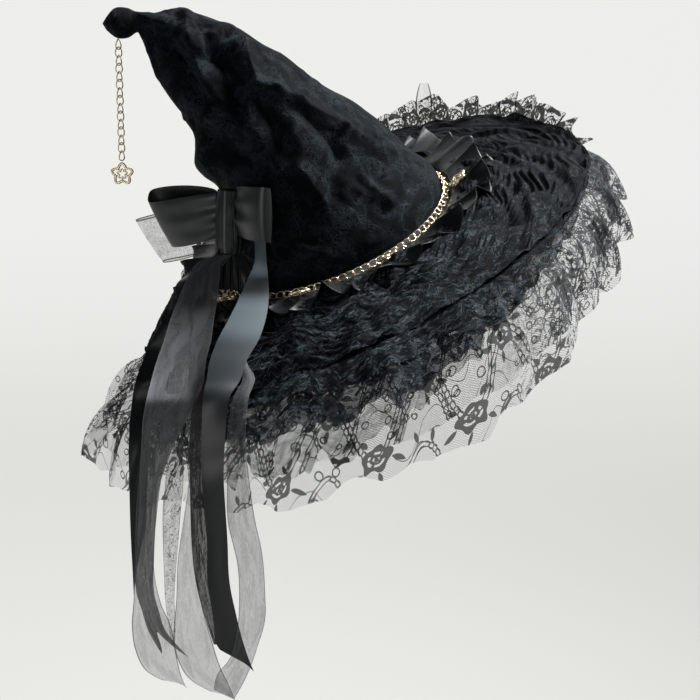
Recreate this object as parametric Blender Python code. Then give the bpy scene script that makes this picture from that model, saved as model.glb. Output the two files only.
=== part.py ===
import math

import bmesh
import bpy
import numpy as np

for ob in list(bpy.data.objects):
    bpy.data.objects.remove(ob, do_unlink=True)

# Lengths are in millimetres until add_node turns them into metres.
MM = 0.001
FRONT_UP = math.radians(21.5)   # the brim's front is lifted by this much
NEAR_DOWN = math.radians(13.5)  # and its near side lowered by this much
CLOTH = 1.2                     # thickness of net, lace and ribbon
VELVET = 2.2                    # wall of the lined crown
BOARD = 2.5                     # stiffened brim
OPENING = (104.4, 101.4)        # half lengths of the hole in the brim

# View that the outlines are read in: looking down by ELEVATION from VIEW_DISTANCE, on a frame of square
# pixels that are PIXEL wide at the point AIM in its middle.
ELEVATION = math.radians(14)
VIEW_DISTANCE = 1600.0
PIXEL = 0.88
FRAME_MIDDLE = 350
AIM = np.array([17.6, 0.0, -106.6])

# Crown, from the foot to the tip. Each section runs from its lower to its upper edge in the view; deep is
# its half depth in millimetres and level tells how much it lies in the brim's plane.
CROWN_TRACE = [
    # lower pixel x, y, upper pixel x, y, deep, level
    (223, 279, 441, 187, 99, 1.0),
    (217, 261, 434, 170, 98, 1.0),
    (215, 240, 412, 152, 92, 0.9),
    (216, 218, 384, 125, 83, 0.7),
    (215, 193, 353, 102, 74, 0.45),
    (201, 178, 324, 86, 66, 0.25),
    (195, 165, 300, 68, 58, 0.1),
    (197, 148, 279, 54, 50, 0.0),
    (196, 134, 260, 42, 44, 0.0),
    (188, 124, 244, 31.5, 40, 0.0),
    (179, 110, 229, 23, 35, 0.0),
    (169, 96, 214, 18, 30, 0.0),
    (159, 79, 199, 14, 25, 0.0),
    (150, 58, 185, 9, 20, 0.0),
    (144, 44, 170, 9.5, 15, 0.0),
    (138, 33, 141, 13, 9, 0.0),
    (128, 38, 127, 8, 11, 0.0),
    (117, 38, 115, 8, 12, 0.0),
    (107, 31, 107, 17, 6, 0.0),
]
CROWN_TIP = (-183.5, -56, 180.5)
HOLLOW_ROWS = 13                # sections that the lining reaches
HOLLOW_TIP = (-122, -46, 158)

# Folds of the crown: lines between two places (section, angle in degrees), half width in sections, depth inward.
FOLDS = [
    ("peak valley", 8.7, 243, 12.5, 278, 0.9, 9.0),
    ("middle valley", 5.0, 250, 9.6, 300, 1.0, 7.0),
    ("under valley", 4.0, 200, 6.0, 235, 1.0, 8.0),
    ("front crease", 2.6, 305, 5.6, 335, 0.8, 4.0),
    ("low crease", 1.5, 262, 2.6, 310, 0.6, 3.5),
    ("back valley", 6.0, 100, 10.0, 75, 1.0, 6.0),
    ("back crease", 2.5, 60, 4.5, 110, 0.9, 4.5),
    ("ridge", 6.8, 262, 11.0, 262, 0.5, -3.0),
]

# Edge of the brim in its own plane: angle in degrees, radius, height above the head opening.
BRIM_EDGE = [
    (0, 228, -18), (30, 226, -20), (60, 226, -22), (90, 226, -28), (120, 222, -47), (150, 210, -67),
    (180, 207, -74), (210, 214, -53), (240, 224, -22), (270, 228, -10), (300, 228, -8), (330, 228, -12),
]
# Lace flounce: angle in degrees, how far it stands out, how far it falls.
FLOUNCE = [
    (0, 28, 40), (30, 38, 48), (60, 50, 56), (90, 50, 60), (120, 34, 62), (140, 18, 62), (155, 20, 62),
    (168, 38, 62), (182, 50, 62), (195, 34, 64), (210, 20, 66), (225, 20, 70), (240, 28, 78), (258, 42, 84),
    (285, 46, 84),
    (300, 46, 76), (320, 36, 56), (340, 24, 44),
]
WAVES = 20                      # gathers of flounce and ruching
WAVE_HEIGHT = 8.0
RUCHING_ABOVE = 7.5             # how far the ruching's fall lies outside the flounce
PLEATS = 34
CHAIN_RING = (107.5, 107.5, -4.0, 4.3)   # half lengths, shift towards the near side, height
CHAIN_TUBE = 2.6

# Curb chain at the tip.
LINKS = 15
LINK_LONG, LINK_WIDE, WIRE = 8.8, 6.0, 1.35
LINK_PITCH = 6.5
TIP_CHAIN_TOP = (-171.0, -56.0, 168.4)

STAR_POINT, STAR_NOTCH, STAR_HOLE, STAR_THICK = 10.5, 6.3, 0.62, 1.8
# Star charms hang at these angles, in degrees, each from the chain round the crown.
STARS = [
    ("crown_star_1", 353), ("crown_star_2", 292), ("crown_star_3", 254), ("crown_star_4", 217),
    ("crown_star_5", 120), ("crown_star_6", 60),
]
STAR_GAP, STAR_RISE, STAR_SLOPE = 0.1, 1.0, 0.45


def material(name, rgb, roughness, metallic=0.0):
    mat = bpy.data.materials.new(name)
    mat.use_nodes = True
    shader = mat.node_tree.nodes["Principled BSDF"]
    shader.inputs["Base Color"].default_value = (*rgb, 1.0)
    shader.inputs["Roughness"].default_value = roughness
    shader.inputs["Metallic"].default_value = metallic
    return mat


VELVET_MAT = material("crushed_velvet", (0.012, 0.014, 0.015), 0.8)
NET_MAT = material("black_lace", (0.02, 0.022, 0.025), 0.9)
SATIN_MAT = material("black_satin", (0.01, 0.01, 0.012), 0.35)
ORGANZA_MAT = material("charcoal_organza", (0.05, 0.05, 0.055), 0.6)
GOLD_MAT = material("pale_gold", (0.83, 0.66, 0.42), 0.25, 1.0)


def unit(v):
    return v / np.maximum(np.linalg.norm(v, axis=-1, keepdims=True), 1e-9)


def brim_turn():
    """Matrix of the brim's two tilts, front up and near side down."""
    a, b = FRONT_UP, NEAR_DOWN
    about_y = np.array([[math.cos(a), 0, -math.sin(a)], [0, 1, 0], [math.sin(a), 0, math.cos(a)]])
    about_x = np.array([[1, 0, 0], [0, math.cos(b), -math.sin(b)], [0, math.sin(b), math.cos(b)]])
    return about_y @ about_x


def hat_to_world(p):
    """Points given in the brim's frame, turned into the shared frame."""
    return np.asarray(p, float) @ brim_turn().T


def traced(x, y, depth):
    """World point behind a pixel, at a depth along world Y."""
    ahead = np.array([0.0, math.cos(ELEVATION), -math.sin(ELEVATION)])
    up = np.array([0.0, math.sin(ELEVATION), math.cos(ELEVATION)])
    eye = AIM - ahead * VIEW_DISTANCE
    slope = PIXEL / VIEW_DISTANCE
    line = ahead + np.array([1.0, 0, 0]) * (x - FRAME_MIDDLE) * slope - up * (y - FRAME_MIDDLE) * slope
    return eye + line * (depth - eye[1]) / line[1]


def crown_sections():
    """Sections as lower x, z, upper x, z, mid y, deep and level, in whole millimetres.

    Each section's middle stands over the middle of the tilted brim, so its depth follows from its height.
    """
    rows = []
    for low_x, low_y, high_x, high_y, deep, level in CROWN_TRACE:
        depth = 0.0
        for _ in range(20):
            low, high = traced(low_x, low_y, depth), traced(high_x, high_y, depth)
            height = ((low + high) / 2 @ brim_turn())[2]
            depth = -math.sin(NEAR_DOWN) * height
        rows.append((*np.round([low[0], low[2], high[0], high[2], depth]), deep, level))
    return rows


def tail_rows(top, slope, behind, edges):
    """Rows of a ribbon as left x, right x, z and y, in whole and half millimetres."""
    rows = [top]
    for row, left, right in edges:
        depth = np.interp(row, *zip(*slope)) + np.interp(row, *zip(*behind))
        a, b = traced(left, row, depth), traced(right, row, depth)
        rows.append((round(a[0]), round(b[0]), round((a[2] + b[2]) / 2), round(depth * 2) / 2))
    return rows


def round_table(table, angle):
    """Smooth periodic reading of a table whose first column is an angle in degrees."""
    t = np.array(table, float)
    keys = np.concatenate([t[-2:, 0] - 360, t[:, 0], t[:2, 0] + 360])
    rows = np.concatenate([t[-2:], t, t[:2]])[:, 1:]
    a = np.mod(np.degrees(angle), 360)
    i = np.clip(np.searchsorted(keys, a, side="right") - 1, 1, len(keys) - 3)
    w = ((a - keys[i]) / (keys[i + 1] - keys[i]))[..., None]
    w = w * w * (3 - 2 * w) * 0.5 + w * 0.5
    return np.moveaxis(rows[i] * (1 - w) + rows[i + 1] * w, -1, 0)


def add_node(name, verts, faces, mat):
    mesh = bpy.data.meshes.new(name)
    mesh.from_pydata((np.asarray(verts, float) * MM).tolist(), [], [list(map(int, f)) for f in faces])
    bm = bmesh.new()
    bm.from_mesh(mesh)
    bmesh.ops.triangulate(bm, faces=bm.faces)
    bmesh.ops.recalc_face_normals(bm, faces=bm.faces)
    bm.to_mesh(mesh)
    bm.free()
    mesh.materials.append(mat)
    ob = bpy.data.objects.new(name, mesh)
    bpy.context.scene.collection.objects.link(ob)
    return ob


def quads(rows, cols, start, wrap):
    """Quads over a grid of rows x cols vertices that begins at start."""
    out = []
    for i in range(rows - 1):
        for j in range(cols if wrap else cols - 1):
            k = (j + 1) % cols
            a, b = start + i * cols, start + (i + 1) * cols
            out.append((a + j, a + k, b + k, b + j))
    return out


def grid_normals(grid, wrap):
    along = np.gradient(grid, axis=0)
    if wrap:
        padded = np.concatenate([grid[:, -1:], grid, grid[:, :1]], axis=1)
        across = (padded[:, 2:] - padded[:, :-2]) / 2
    else:
        across = np.gradient(grid, axis=1)
    return unit(np.cross(along, across))


def sheet(name, grid, thick, mat, wrap=False):
    """Solid of one thickness on both sides of a grid of points."""
    rows, cols = grid.shape[:2]
    half = grid_normals(grid, wrap) * thick / 2
    verts = np.concatenate([(grid + half).reshape(-1, 3), (grid - half).reshape(-1, 3)])
    n = rows * cols
    faces = quads(rows, cols, 0, wrap) + [f[::-1] for f in quads(rows, cols, n, wrap)]
    for j in range(cols if wrap else cols - 1):
        k = (j + 1) % cols
        last = (rows - 1) * cols
        faces += [(j, n + j, n + k, k), (last + k, n + last + k, n + last + j, last + j)]
    if not wrap:
        for i in range(rows - 1):
            a, b = i * cols, (i + 1) * cols
            faces += [(b, n + b, n + a, a), (a + cols - 1, n + a + cols - 1, n + b + cols - 1, b + cols - 1)]
    return add_node(name, verts, faces, mat)


def fold_depth(row, angle):
    """Inward depth of all folds at a place of the crown."""
    depth = np.zeros_like(angle)
    for _name, s0, a0, s1, a1, wide, deep in FOLDS:
        here = np.stack([row, np.mod(angle, 360) / 26.0], -1)
        start, end = np.array([s0, a0 / 26.0]), np.array([s1, a1 / 26.0])
        run = end - start
        t = np.clip(((here - start) @ run) / (run @ run), 0, 1)
        away = np.linalg.norm(here - start - t[..., None] * run, axis=-1)
        depth += deep * np.exp(-((away / wide) ** 2))
    return depth


def crown_points(cols, inset, rows):
    """Rings of the crown's surface, moved inward by inset."""
    phi = np.arange(cols) * 2 * math.pi / cols
    rng = np.random.default_rng(7)
    crush = rng.uniform(-1.3, 1.3, (len(CROWN_TRACE), cols))
    sections = crown_sections()
    tilt_y = hat_to_world([0, 1, 0])
    view_y = np.array([0, math.cos(ELEVATION), -math.sin(ELEVATION)])
    rings = []
    for s in range(rows):
        lx, lz, ux, uz, y, deep, level = sections[s]
        low, high = np.array([lx, y, lz], float), np.array([ux, y, uz], float)
        mid, half = (low + high) / 2, (high - low) / 2
        wide = np.linalg.norm(half)
        e1 = half / wide
        e2 = unit(tilt_y * level + view_y * (1 - level))
        e2 = unit(e2 - e1 * (e1 @ e2))
        flat = min(1.0, max(0.0, s - 1.0)) * (0.0 if s > 15 else 1.0)
        dent = fold_depth(np.full(cols, float(s)), np.degrees(phi)) * flat
        push = -inset - np.minimum(dent, 0.4 * deep) + crush[s] * flat * min(1.0, wide / 30)
        a, b = wide + push, deep + push
        ring = mid + (a * np.cos(phi))[:, None] * e1 + (b * np.sin(phi))[:, None] * e2
        rings.append(ring)
    return np.array(rings)


def build_crown():
    cols = 30
    outer = crown_points(cols, 0.0, len(CROWN_TRACE))
    inner = crown_points(cols, VELVET, HOLLOW_ROWS)
    n_out, n_in = len(outer) * cols, len(inner) * cols
    verts = np.concatenate([outer.reshape(-1, 3), inner.reshape(-1, 3), [CROWN_TIP], [HOLLOW_TIP]])
    faces = quads(len(outer), cols, 0, True) + [f[::-1] for f in quads(len(inner), cols, n_out, True)]
    tip, top = n_out + n_in, n_out + n_in + 1
    for j in range(cols):
        k = (j + 1) % cols
        faces.append((n_out - cols + j, n_out - cols + k, tip))
        faces.append((n_out + n_in - cols + k, n_out + n_in - cols + j, top))
        faces.append((k, j, n_out + j, n_out + k))
    add_node("crown", verts, faces, VELVET_MAT)


def edge(angle):
    """Brim edge at an angle: radius and height."""
    return round_table(BRIM_EDGE, angle)


def brim_height(radius, angle):
    r_edge, z_edge = edge(angle)
    t = np.clip((radius - 104) / (r_edge - 104), 0, 1)
    return z_edge * t ** 1.5


def polar(radius, angle, height):
    return np.stack([radius * np.cos(angle), radius * np.sin(angle), height], -1)


def build_brim():
    angle = np.arange(64) * 2 * math.pi / 64
    r_edge, z_edge = edge(angle)
    inner = np.stack([OPENING[0] * np.cos(angle), OPENING[1] * np.sin(angle), 0 * angle], -1)
    rows = [polar(r, angle, brim_height(r, angle)) for r in (124 + 0 * angle, (125 + r_edge) / 2)]
    grid = np.stack([inner] + rows + [polar(r_edge, angle, z_edge)])
    sheet("brim", hat_to_world(grid), BOARD, VELVET_MAT, wrap=True)


def flounce_surface(u, angle, lift=0.0):
    """The flounce leaves the brim level and bends down along a quarter of an ellipse, with waves that grow."""
    r_edge, z_edge = edge(angle)
    out, fall = round_table(FLOUNCE, angle)
    start = hat_to_world(polar(r_edge - 8, angle, z_edge - 3.4))
    outward = hat_to_world(polar(1 + 0 * angle, angle, 0 * angle))
    outward = unit(outward * [1, 1, 0])
    up = np.array([0.0, 0, 1])
    bend = u * math.pi / 2
    p = start + outward * ((out + 8) * np.sin(bend))[..., None] - up * (fall * (1 - np.cos(bend)))[..., None]
    normal = outward * np.sin(bend)[..., None] + up * np.cos(bend)[..., None]
    wave = WAVE_HEIGHT * u ** 0.9 * np.sin(WAVES * angle) + lift
    return p + normal * wave[..., None]


def build_flounce():
    angle = np.arange(100) * 2 * math.pi / 100
    rows = [flounce_surface(np.full(100, u), angle) for u in (0.0, 0.3, 0.62, 1.0)]
    sheet("lace_flounce", np.stack(rows), CLOTH, NET_MAT, wrap=True)


def build_ruching():
    angle = np.arange(80) * 2 * math.pi / 80
    r_edge, _ = edge(angle)
    wave = 1 + np.sin(WAVES * angle)
    rows = []
    for t, low, amp in ((0.0, 3.0, 0.4), (0.5, 3.4, 2.0), (1.0, 3.8, 1.6)):
        r = 124 + (r_edge + 1 - 124) * t
        rows.append(hat_to_world(polar(r, angle, brim_height(r, angle) + low + amp * wave)))
    near = np.clip(1 - np.abs(np.degrees(angle) - 266) / 34, 0, 1)
    near = near * near * (3 - 2 * near)
    rows.append(flounce_surface(0.26 + 0.16 * near, angle, lift=RUCHING_ABOVE))
    sheet("brim_ruching", np.stack(rows), CLOTH, NET_MAT, wrap=True)


def build_frill():
    n = 2 * PLEATS
    angle = np.arange(n) * 2 * math.pi / n
    zig = np.where(np.arange(n) % 2 == 0, 1.0, -1.0)
    rows = []
    for r, shift, z, amp in ((112.5, -4, 3.2, 0.0), (117.5, -4, 5.6, 0.3), (132, -2, 8.8, 2.2),
                             (149, 0, 14.0, 5.0)):
        p = polar(r + 0 * angle, angle, brim_height(r, angle) + z + amp * zig)
        p[:, 1] += shift
        rows.append(hat_to_world(p))
    sheet("ribbon_frill", np.stack(rows), CLOTH, SATIN_MAT, wrap=True)


def tube_loop(path, radius, sides):
    """Closed tube round a closed path; returns vertices and faces."""
    n = len(path)
    along = unit(np.roll(path, -1, 0) - np.roll(path, 1, 0))
    middle = path.mean(0)
    out = unit(path - middle)
    out = unit(out - along * np.sum(out * along, -1, keepdims=True))
    side = np.cross(along, out)
    a = np.arange(sides) * 2 * math.pi / sides
    turned = np.cos(a)[None, :, None] * out[:, None] + np.sin(a)[None, :, None] * side[:, None]
    ring = path[:, None] + radius * turned
    verts = ring.reshape(-1, 3)
    faces = []
    for i in range(n):
        for j in range(sides):
            k, m = (j + 1) % sides, (i + 1) % n
            faces.append((i * sides + j, i * sides + k, m * sides + k, m * sides + j))
    return verts, faces


def build_crown_chain():
    angle = np.arange(48) * 2 * math.pi / 48
    rx, ry, shift, z = CHAIN_RING
    path = hat_to_world(np.stack([rx * np.cos(angle), ry * np.sin(angle) + shift, z + 0 * angle], -1))
    verts, faces = tube_loop(path, CHAIN_TUBE, 5)
    add_node("crown_chain", verts, faces, GOLD_MAT)


def link_path(count):
    """Middle line of one link, long axis along z."""
    t = np.arange(count) * 2 * math.pi / count
    half_long, half_wide = (LINK_LONG - WIRE) / 2, (LINK_WIDE - WIRE) / 2
    x = half_wide * np.sign(np.cos(t)) * np.abs(np.cos(t)) ** 0.8
    z = half_long * np.sign(np.sin(t)) * np.abs(np.sin(t)) ** 0.9
    return np.stack([x, 0 * t, z], -1)


def build_tip_chain():
    x, y, top = TIP_CHAIN_TOP
    whole = None
    for i in range(LINKS):
        turn = math.radians(45 if i % 2 else -45)
        path = link_path(12)
        spun = np.stack([path[:, 0] * math.cos(turn), path[:, 0] * math.sin(turn), path[:, 2]], -1)
        centre = np.array([x, y, top - LINK_LONG / 2 - i * LINK_PITCH])
        verts, faces = tube_loop(spun + centre, WIRE / 2, 5)
        ob = add_node("tip_chain" if i == 0 else "link", verts, faces, GOLD_MAT)
        if whole is None:
            whole = ob
            continue
        join = whole.modifiers.new("join", "BOOLEAN")
        join.operation = "UNION"
        join.solver = "EXACT"
        join.object = ob
        bpy.context.view_layer.update()
        fused = bpy.data.meshes.new_from_object(whole.evaluated_get(bpy.context.evaluated_depsgraph_get()))
        whole.modifiers.clear()
        whole.data = fused
        bpy.data.objects.remove(ob, do_unlink=True)
    whole.data.name = "tip_chain"


def star_outline(scale):
    t = np.arange(10) * math.pi / 5 + math.pi / 2
    r = np.where(np.arange(10) % 2 == 0, STAR_POINT, STAR_NOTCH) * scale
    return np.stack([r * np.cos(t), r * np.sin(t)], -1)


def add_star(name, centre, right, up):
    """Open five-point frame whose plane is spanned by right and up."""
    right, up = unit(np.array(right, float)), unit(np.array(up, float))
    up = unit(up - right * (right @ up))
    out = np.cross(right, up) * STAR_THICK / 2
    flat = np.concatenate([star_outline(1.0), star_outline(STAR_HOLE)])
    plane = np.array(centre) + flat[:, :1] * right + flat[:, 1:] * up
    verts = np.concatenate([plane + out, plane - out])
    faces = []
    for j in range(10):
        k = (j + 1) % 10
        faces += [(j, k, 10 + k, 10 + j), (20 + j, 30 + j, 30 + k, 20 + k)]
        faces += [(j, 20 + j, 20 + k, k), (10 + j, 10 + k, 30 + k, 30 + j)]
    add_node(name, verts, faces, GOLD_MAT)


def build_stars():
    rx, ry, shift, z = CHAIN_RING
    for name, degrees in STARS:
        a = math.radians(degrees)
        out = np.array([math.cos(a), math.sin(a), STAR_SLOPE])
        tip = np.array([rx * math.cos(a), ry * math.sin(a) + shift, z + STAR_RISE])
        tip += np.array([math.cos(a), math.sin(a), 0]) * (CHAIN_TUBE + STAR_GAP)
        centre = tip + unit(out) * STAR_POINT
        right = np.array([-math.sin(a), math.cos(a), 0])
        add_star(name, hat_to_world(centre), hat_to_world(right), hat_to_world(-out))
    x, y, top = TIP_CHAIN_TOP
    low = top - LINK_LONG - (LINKS - 1) * LINK_PITCH
    add_star("tip_star", (x, y, low - 0.5 - STAR_POINT), (1, 0, 0), (0, 0, 1))


# Bow: loops leave the knot at root and turn back at end; width is the ribbon's width along the direction wide.
LOOPS = [
    # name, root, end, wide, width, open half
    ("satin_loop_left", (-94.1, -66.2, 22), (-144, -44, 20), (0.42, 0.0, -0.91), 42, 9, "satin"),
    ("satin_loop_right", (-74.7, -81.7, 31), (-49, -115, 32), (0.0, 0.0, -1.0), 44, 10, "satin"),
    ("organza_loop_left", (-104, -47.8, 6), (-154, -20, -2), (0.45, 0.0, -0.89), 42, 5, "organza"),
]
# Depths that the ribbons hang at, by pixel row: down the brim's slope beside the knot, then straight.
LEFT_SLOPE = [(254, -80), (280, -97), (300, -110), (320, -126), (360, -158),
              (400, -197), (440, -201), (720, -201)]
MIDDLE_SLOPE = [(280, -88), (300, -101), (320, -117), (360, -149), (400, -186),
                (420, -197), (440, -206), (480, -212)]
EDGE_SLOPE = [(275, -66), (290, -60), (310, -66), (330, -66), (350, -68),
              (380, -84), (400, -109), (440, -130), (480, -136)]
RIGHT_SLOPE = [(300, -141), (360, -186), (400, -211), (440, -219), (480, -226), (720, -227)]
SATIN_SLOPE = [(262, -105), (280, -122)] + RIGHT_SLOPE
DARK_SLOPE = [(262, -88), (280, -116)] + RIGHT_SLOPE
SHEER_SLOPE = [(262, -85), (280, -112.5)] + RIGHT_SLOPE
LEVEL = [(0, 0)]

# Ribbon tails, from the knot down: top is the first row's left x, right x, z and y in millimetres, slope
# the curve that it hangs on, behind its distance behind that curve, and edges where its two edges are seen.
TAILS = {
    # pixel row, left pixel, right pixel
    "organza_band": dict(top=(-88, -79, -5.9, -80), slope=LEFT_SLOPE, behind=LEVEL, edges=[
        (262, 198, 221), (280, 187, 220), (300, 178, 217), (320, 170, 214), (340, 164, 211), (360, 157, 207),
        (380, 151, 203), (400, 146, 198), (420, 143, 187), (440, 142, 176), (470, 140, 164), (500, 139, 157),
        (560, 136, 154), (590, 136, 153), (610, 142, 158), (631, 149, 165), (654, 161, 186),
    ]),
    "organza_tail_narrow": dict(top=(-90, -79, -5.9, -77.5), slope=LEFT_SLOPE,
                                behind=[(400, 2.8), (480, 6.8)], edges=[
        (280, 192, 210), (300, 186, 206), (320, 180, 200), (360, 171, 190), (400, 167, 186), (440, 165, 182),
        (480, 165, 183), (515, 162, 180), (560, 164, 178), (590, 165, 175), (620, 168, 175), (645, 171, 175),
    ]),
    "organza_tail_left": dict(top=(-91, -80, -5.9, -75), slope=LEFT_SLOPE,
                              behind=[(400, 5.6), (480, 15.6)], edges=[
        (280, 193, 213), (300, 184, 206), (320, 176, 200), (360, 164, 188), (400, 155, 178), (440, 145, 168),
        (500, 137, 158), (560, 135, 154), (600, 134, 160), (625, 132, 170), (650, 135, 175), (670, 146, 179),
        (683, 168, 184),
    ]),
    "organza_tail_middle": dict(top=(-91, -80, -5.9, -72.5), slope=MIDDLE_SLOPE, behind=LEVEL, edges=[
        (280, 196, 214), (300, 190, 212), (320, 186, 208), (360, 184, 204), (400, 192, 203), (420, 191, 202),
        (440, 189, 201), (480, 189, 201), (520, 184, 197), (560, 178, 197), (600, 176, 200), (640, 174, 212),
        (665, 180, 220), (682, 194, 227), (697, 222, 234),
    ]),
    "satin_tail_left": dict(top=(-92, -81, -5.9, -70), slope=EDGE_SLOPE, behind=LEVEL, edges=[
        (275, 192, 206), (290, 182, 202), (310, 170, 192), (330, 158, 180), (350, 147, 172), (380, 136, 160),
        (400, 132, 154), (440, 129, 150), (480, 129, 148), (540, 131, 146), (596, 134, 141),
    ]),
    "satin_tail_right": dict(top=(-60, -51, 9.2, -97), slope=SATIN_SLOPE, behind=LEVEL, edges=[
        (262, 254, 267), (280, 247, 268), (300, 239, 269), (320, 229, 265), (340, 218, 258), (360, 210, 248),
        (380, 206, 240), (400, 203, 229), (440, 201, 225), (480, 202, 224), (540, 207, 227), (580, 208, 230),
        (620, 213, 236), (645, 217, 243), (662, 232, 250),
    ]),
    "organza_tail_dark": dict(top=(-78, -72, -5.9, -79), slope=DARK_SLOPE,
                              behind=[(280, 0), (300, 4.2), (400, 5.5), (480, 10)], edges=[
        (262, 236, 247), (280, 243, 255), (300, 244, 262), (360, 216, 234), (400, 194, 208), (440, 190, 203),
        (480, 190, 203), (520, 191, 206), (560, 193, 209), (590, 197, 211), (620, 206, 218), (645, 214, 224),
    ]),
    "organza_tail_right": dict(top=(-78, -71, -5.9, -76.5), slope=SHEER_SLOPE,
                               behind=[(280, 0), (300, 7.2), (360, 7.2), (400, -5), (480, -9)], edges=[
        (262, 246, 257), (280, 252, 266), (300, 252, 268), (340, 240, 256), (360, 233, 247), (378, 243, 255),
        (400, 232, 248), (440, 227, 245), (480, 227, 249), (520, 228, 255), (545, 233, 260), (565, 238, 264),
        (590, 239, 265), (620, 238, 265), (645, 235, 259), (660, 228, 254), (674, 217, 248), (690, 214, 240),
    ]),
}
SATIN_TAILS = ("satin_tail_left", "satin_tail_right")
KNOT = dict(centre=(-82.8, -72.4, 21), wide=12.0, deep=7.0, tall=26.0, turn=41)


def build_loops():
    for name, root, end, wide, width, open_half, kind in LOOPS:
        root, end = np.array(root, float), np.array(end, float)
        along = end - root
        reach = np.linalg.norm(along)
        along = along / reach
        wide = unit(np.array(wide, float))
        wide = unit(wide - along * (along @ wide))
        across = np.cross(along, wide)
        t = np.arange(14) * 2 * math.pi / 14
        run = reach * (1 - np.cos(t)) / 2
        side = open_half * np.sin(t) * (0.35 + 0.65 * (1 - np.cos(t)) / 2)
        path = root + run[:, None] * along + side[:, None] * across
        grid = np.stack([path - wide * width / 2, path + wide * width / 2])
        sheet(name, grid, CLOTH, SATIN_MAT if kind == "satin" else ORGANZA_MAT, wrap=True)


def build_tails():
    for name, ribbon in TAILS.items():
        table = np.array(tail_rows(**ribbon), float)
        left = table[:, [0, 3, 2]]
        right = table[:, [1, 3, 2]]
        grid = np.stack([left, right], axis=1)
        sheet(name, grid, CLOTH - 0.2, SATIN_MAT if name in SATIN_TAILS else ORGANZA_MAT)


def build_knot():
    cx, cy, cz = KNOT["centre"]
    turn = math.radians(KNOT["turn"])
    sides = 10
    t = np.arange(sides) * 2 * math.pi / sides
    rings = []
    for z, w in ((-1.0, 0.92), (-0.55, 1.0), (0.3, 0.93), (1.0, 0.72)):
        sx = KNOT["wide"] * w * np.sign(np.cos(t)) * np.abs(np.cos(t)) ** 0.6
        sy = KNOT["deep"] * w * np.sign(np.sin(t)) * np.abs(np.sin(t)) ** 0.6
        x, y = cx + sx * math.cos(turn) + sy * math.sin(turn), cy - sx * math.sin(turn) + sy * math.cos(turn)
        rings.append(np.stack([x, y, cz + KNOT["tall"] * z + 0 * t], -1))
    verts = np.concatenate(rings)
    faces = quads(4, sides, 0, True) + [tuple(range(sides))[::-1], tuple(range(3 * sides, 4 * sides))]
    add_node("bow_knot", verts, faces, ORGANZA_MAT)


build_crown()
build_brim()
build_flounce()
build_ruching()
build_frill()
build_crown_chain()
build_tip_chain()
build_stars()
build_loops()
build_knot()
build_tails()
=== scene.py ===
import math

import bpy
import numpy as np
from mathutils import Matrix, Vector


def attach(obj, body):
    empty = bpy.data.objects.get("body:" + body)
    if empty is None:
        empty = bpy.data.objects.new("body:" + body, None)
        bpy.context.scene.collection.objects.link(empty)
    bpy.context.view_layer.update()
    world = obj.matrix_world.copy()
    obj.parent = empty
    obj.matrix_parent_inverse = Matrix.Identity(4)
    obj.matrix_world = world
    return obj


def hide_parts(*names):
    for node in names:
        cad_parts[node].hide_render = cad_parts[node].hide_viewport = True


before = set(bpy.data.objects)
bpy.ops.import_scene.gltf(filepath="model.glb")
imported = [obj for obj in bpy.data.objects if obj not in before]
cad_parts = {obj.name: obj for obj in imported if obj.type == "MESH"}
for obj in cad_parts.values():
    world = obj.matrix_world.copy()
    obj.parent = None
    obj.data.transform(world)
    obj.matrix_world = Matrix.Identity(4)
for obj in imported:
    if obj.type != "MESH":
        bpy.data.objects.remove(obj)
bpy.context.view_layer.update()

# Camera: on the hat's near side, a little above the brim, where a pixel is 0.88 mm wide at the head opening.
# Lengths in this script are millimetres until a mesh or an object is made.
MM = 0.001
ELEVATION = math.radians(14)
CAMERA_DISTANCE = 1600.0
PIXEL = 0.88
FRAME_SIDE = 700
SENSOR = 36.0
AIM = np.array([17.6, 0.0, -106.6])
BACK = np.array([0.0, -math.cos(ELEVATION), math.sin(ELEVATION)])
SCREEN_UP = np.array([0.0, math.sin(ELEVATION), math.cos(ELEVATION)])

camera_data = bpy.data.cameras.new("camera")
camera_data.sensor_width = SENSOR
camera_data.lens = SENSOR * CAMERA_DISTANCE / (PIXEL * FRAME_SIDE)
camera = bpy.data.objects.new("camera", camera_data)
camera.location = (AIM + BACK * CAMERA_DISTANCE) * MM
camera.rotation_mode = "QUATERNION"
camera.rotation_quaternion = Vector(-BACK).to_track_quat("-Z", "Y")
bpy.context.scene.collection.objects.link(camera)
bpy.context.scene.camera = camera


# Crown: a tall cone of crushed velvet, bent back and to the left and pressed into folds by hand.
# It is sewn to the brim at its foot and ends in a knotted tip.
FRONT_UP = math.radians(21.5)
NEAR_DOWN = math.radians(13.5)
CROWN_TRACE = [
    # lower pixel x, y, upper pixel x, y, half depth, share of the brim's tilt
    (223, 279, 441, 187, 99, 1.0),
    (217, 261, 434, 170, 98, 1.0),
    (215, 240, 412, 152, 92, 0.9),
    (216, 218, 384, 125, 83, 0.7),
    (215, 193, 353, 102, 74, 0.45),
    (201, 178, 324, 86, 66, 0.25),
    (195, 165, 300, 68, 58, 0.1),
    (197, 148, 279, 54, 50, 0.0),
    (196, 134, 260, 42, 44, 0.0),
    (188, 124, 244, 31.5, 40, 0.0),
    (179, 110, 229, 23, 35, 0.0),
    (169, 96, 214, 18, 30, 0.0),
    (159, 79, 199, 14, 25, 0.0),
    (150, 58, 185, 9, 20, 0.0),
    (144, 44, 170, 9.5, 15, 0.0),
    (138, 33, 141, 13, 9, 0.0),
    (128, 38, 127, 8, 11, 0.0),
    (117, 38, 115, 8, 12, 0.0),
    (107, 31, 107, 17, 6, 0.0),
]
CROWN_TIP = (-183.5, -56, 180.5)
CROWN_WALL = 2.0
HOLLOW_TOP = 12.0               # last section that the hollow reaches
HOLLOW_TIP = (-122, -46, 158)
CROWN_ROWS, CROWN_COLUMNS, HOLLOW_ROWS = 250, 300, 40
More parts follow.
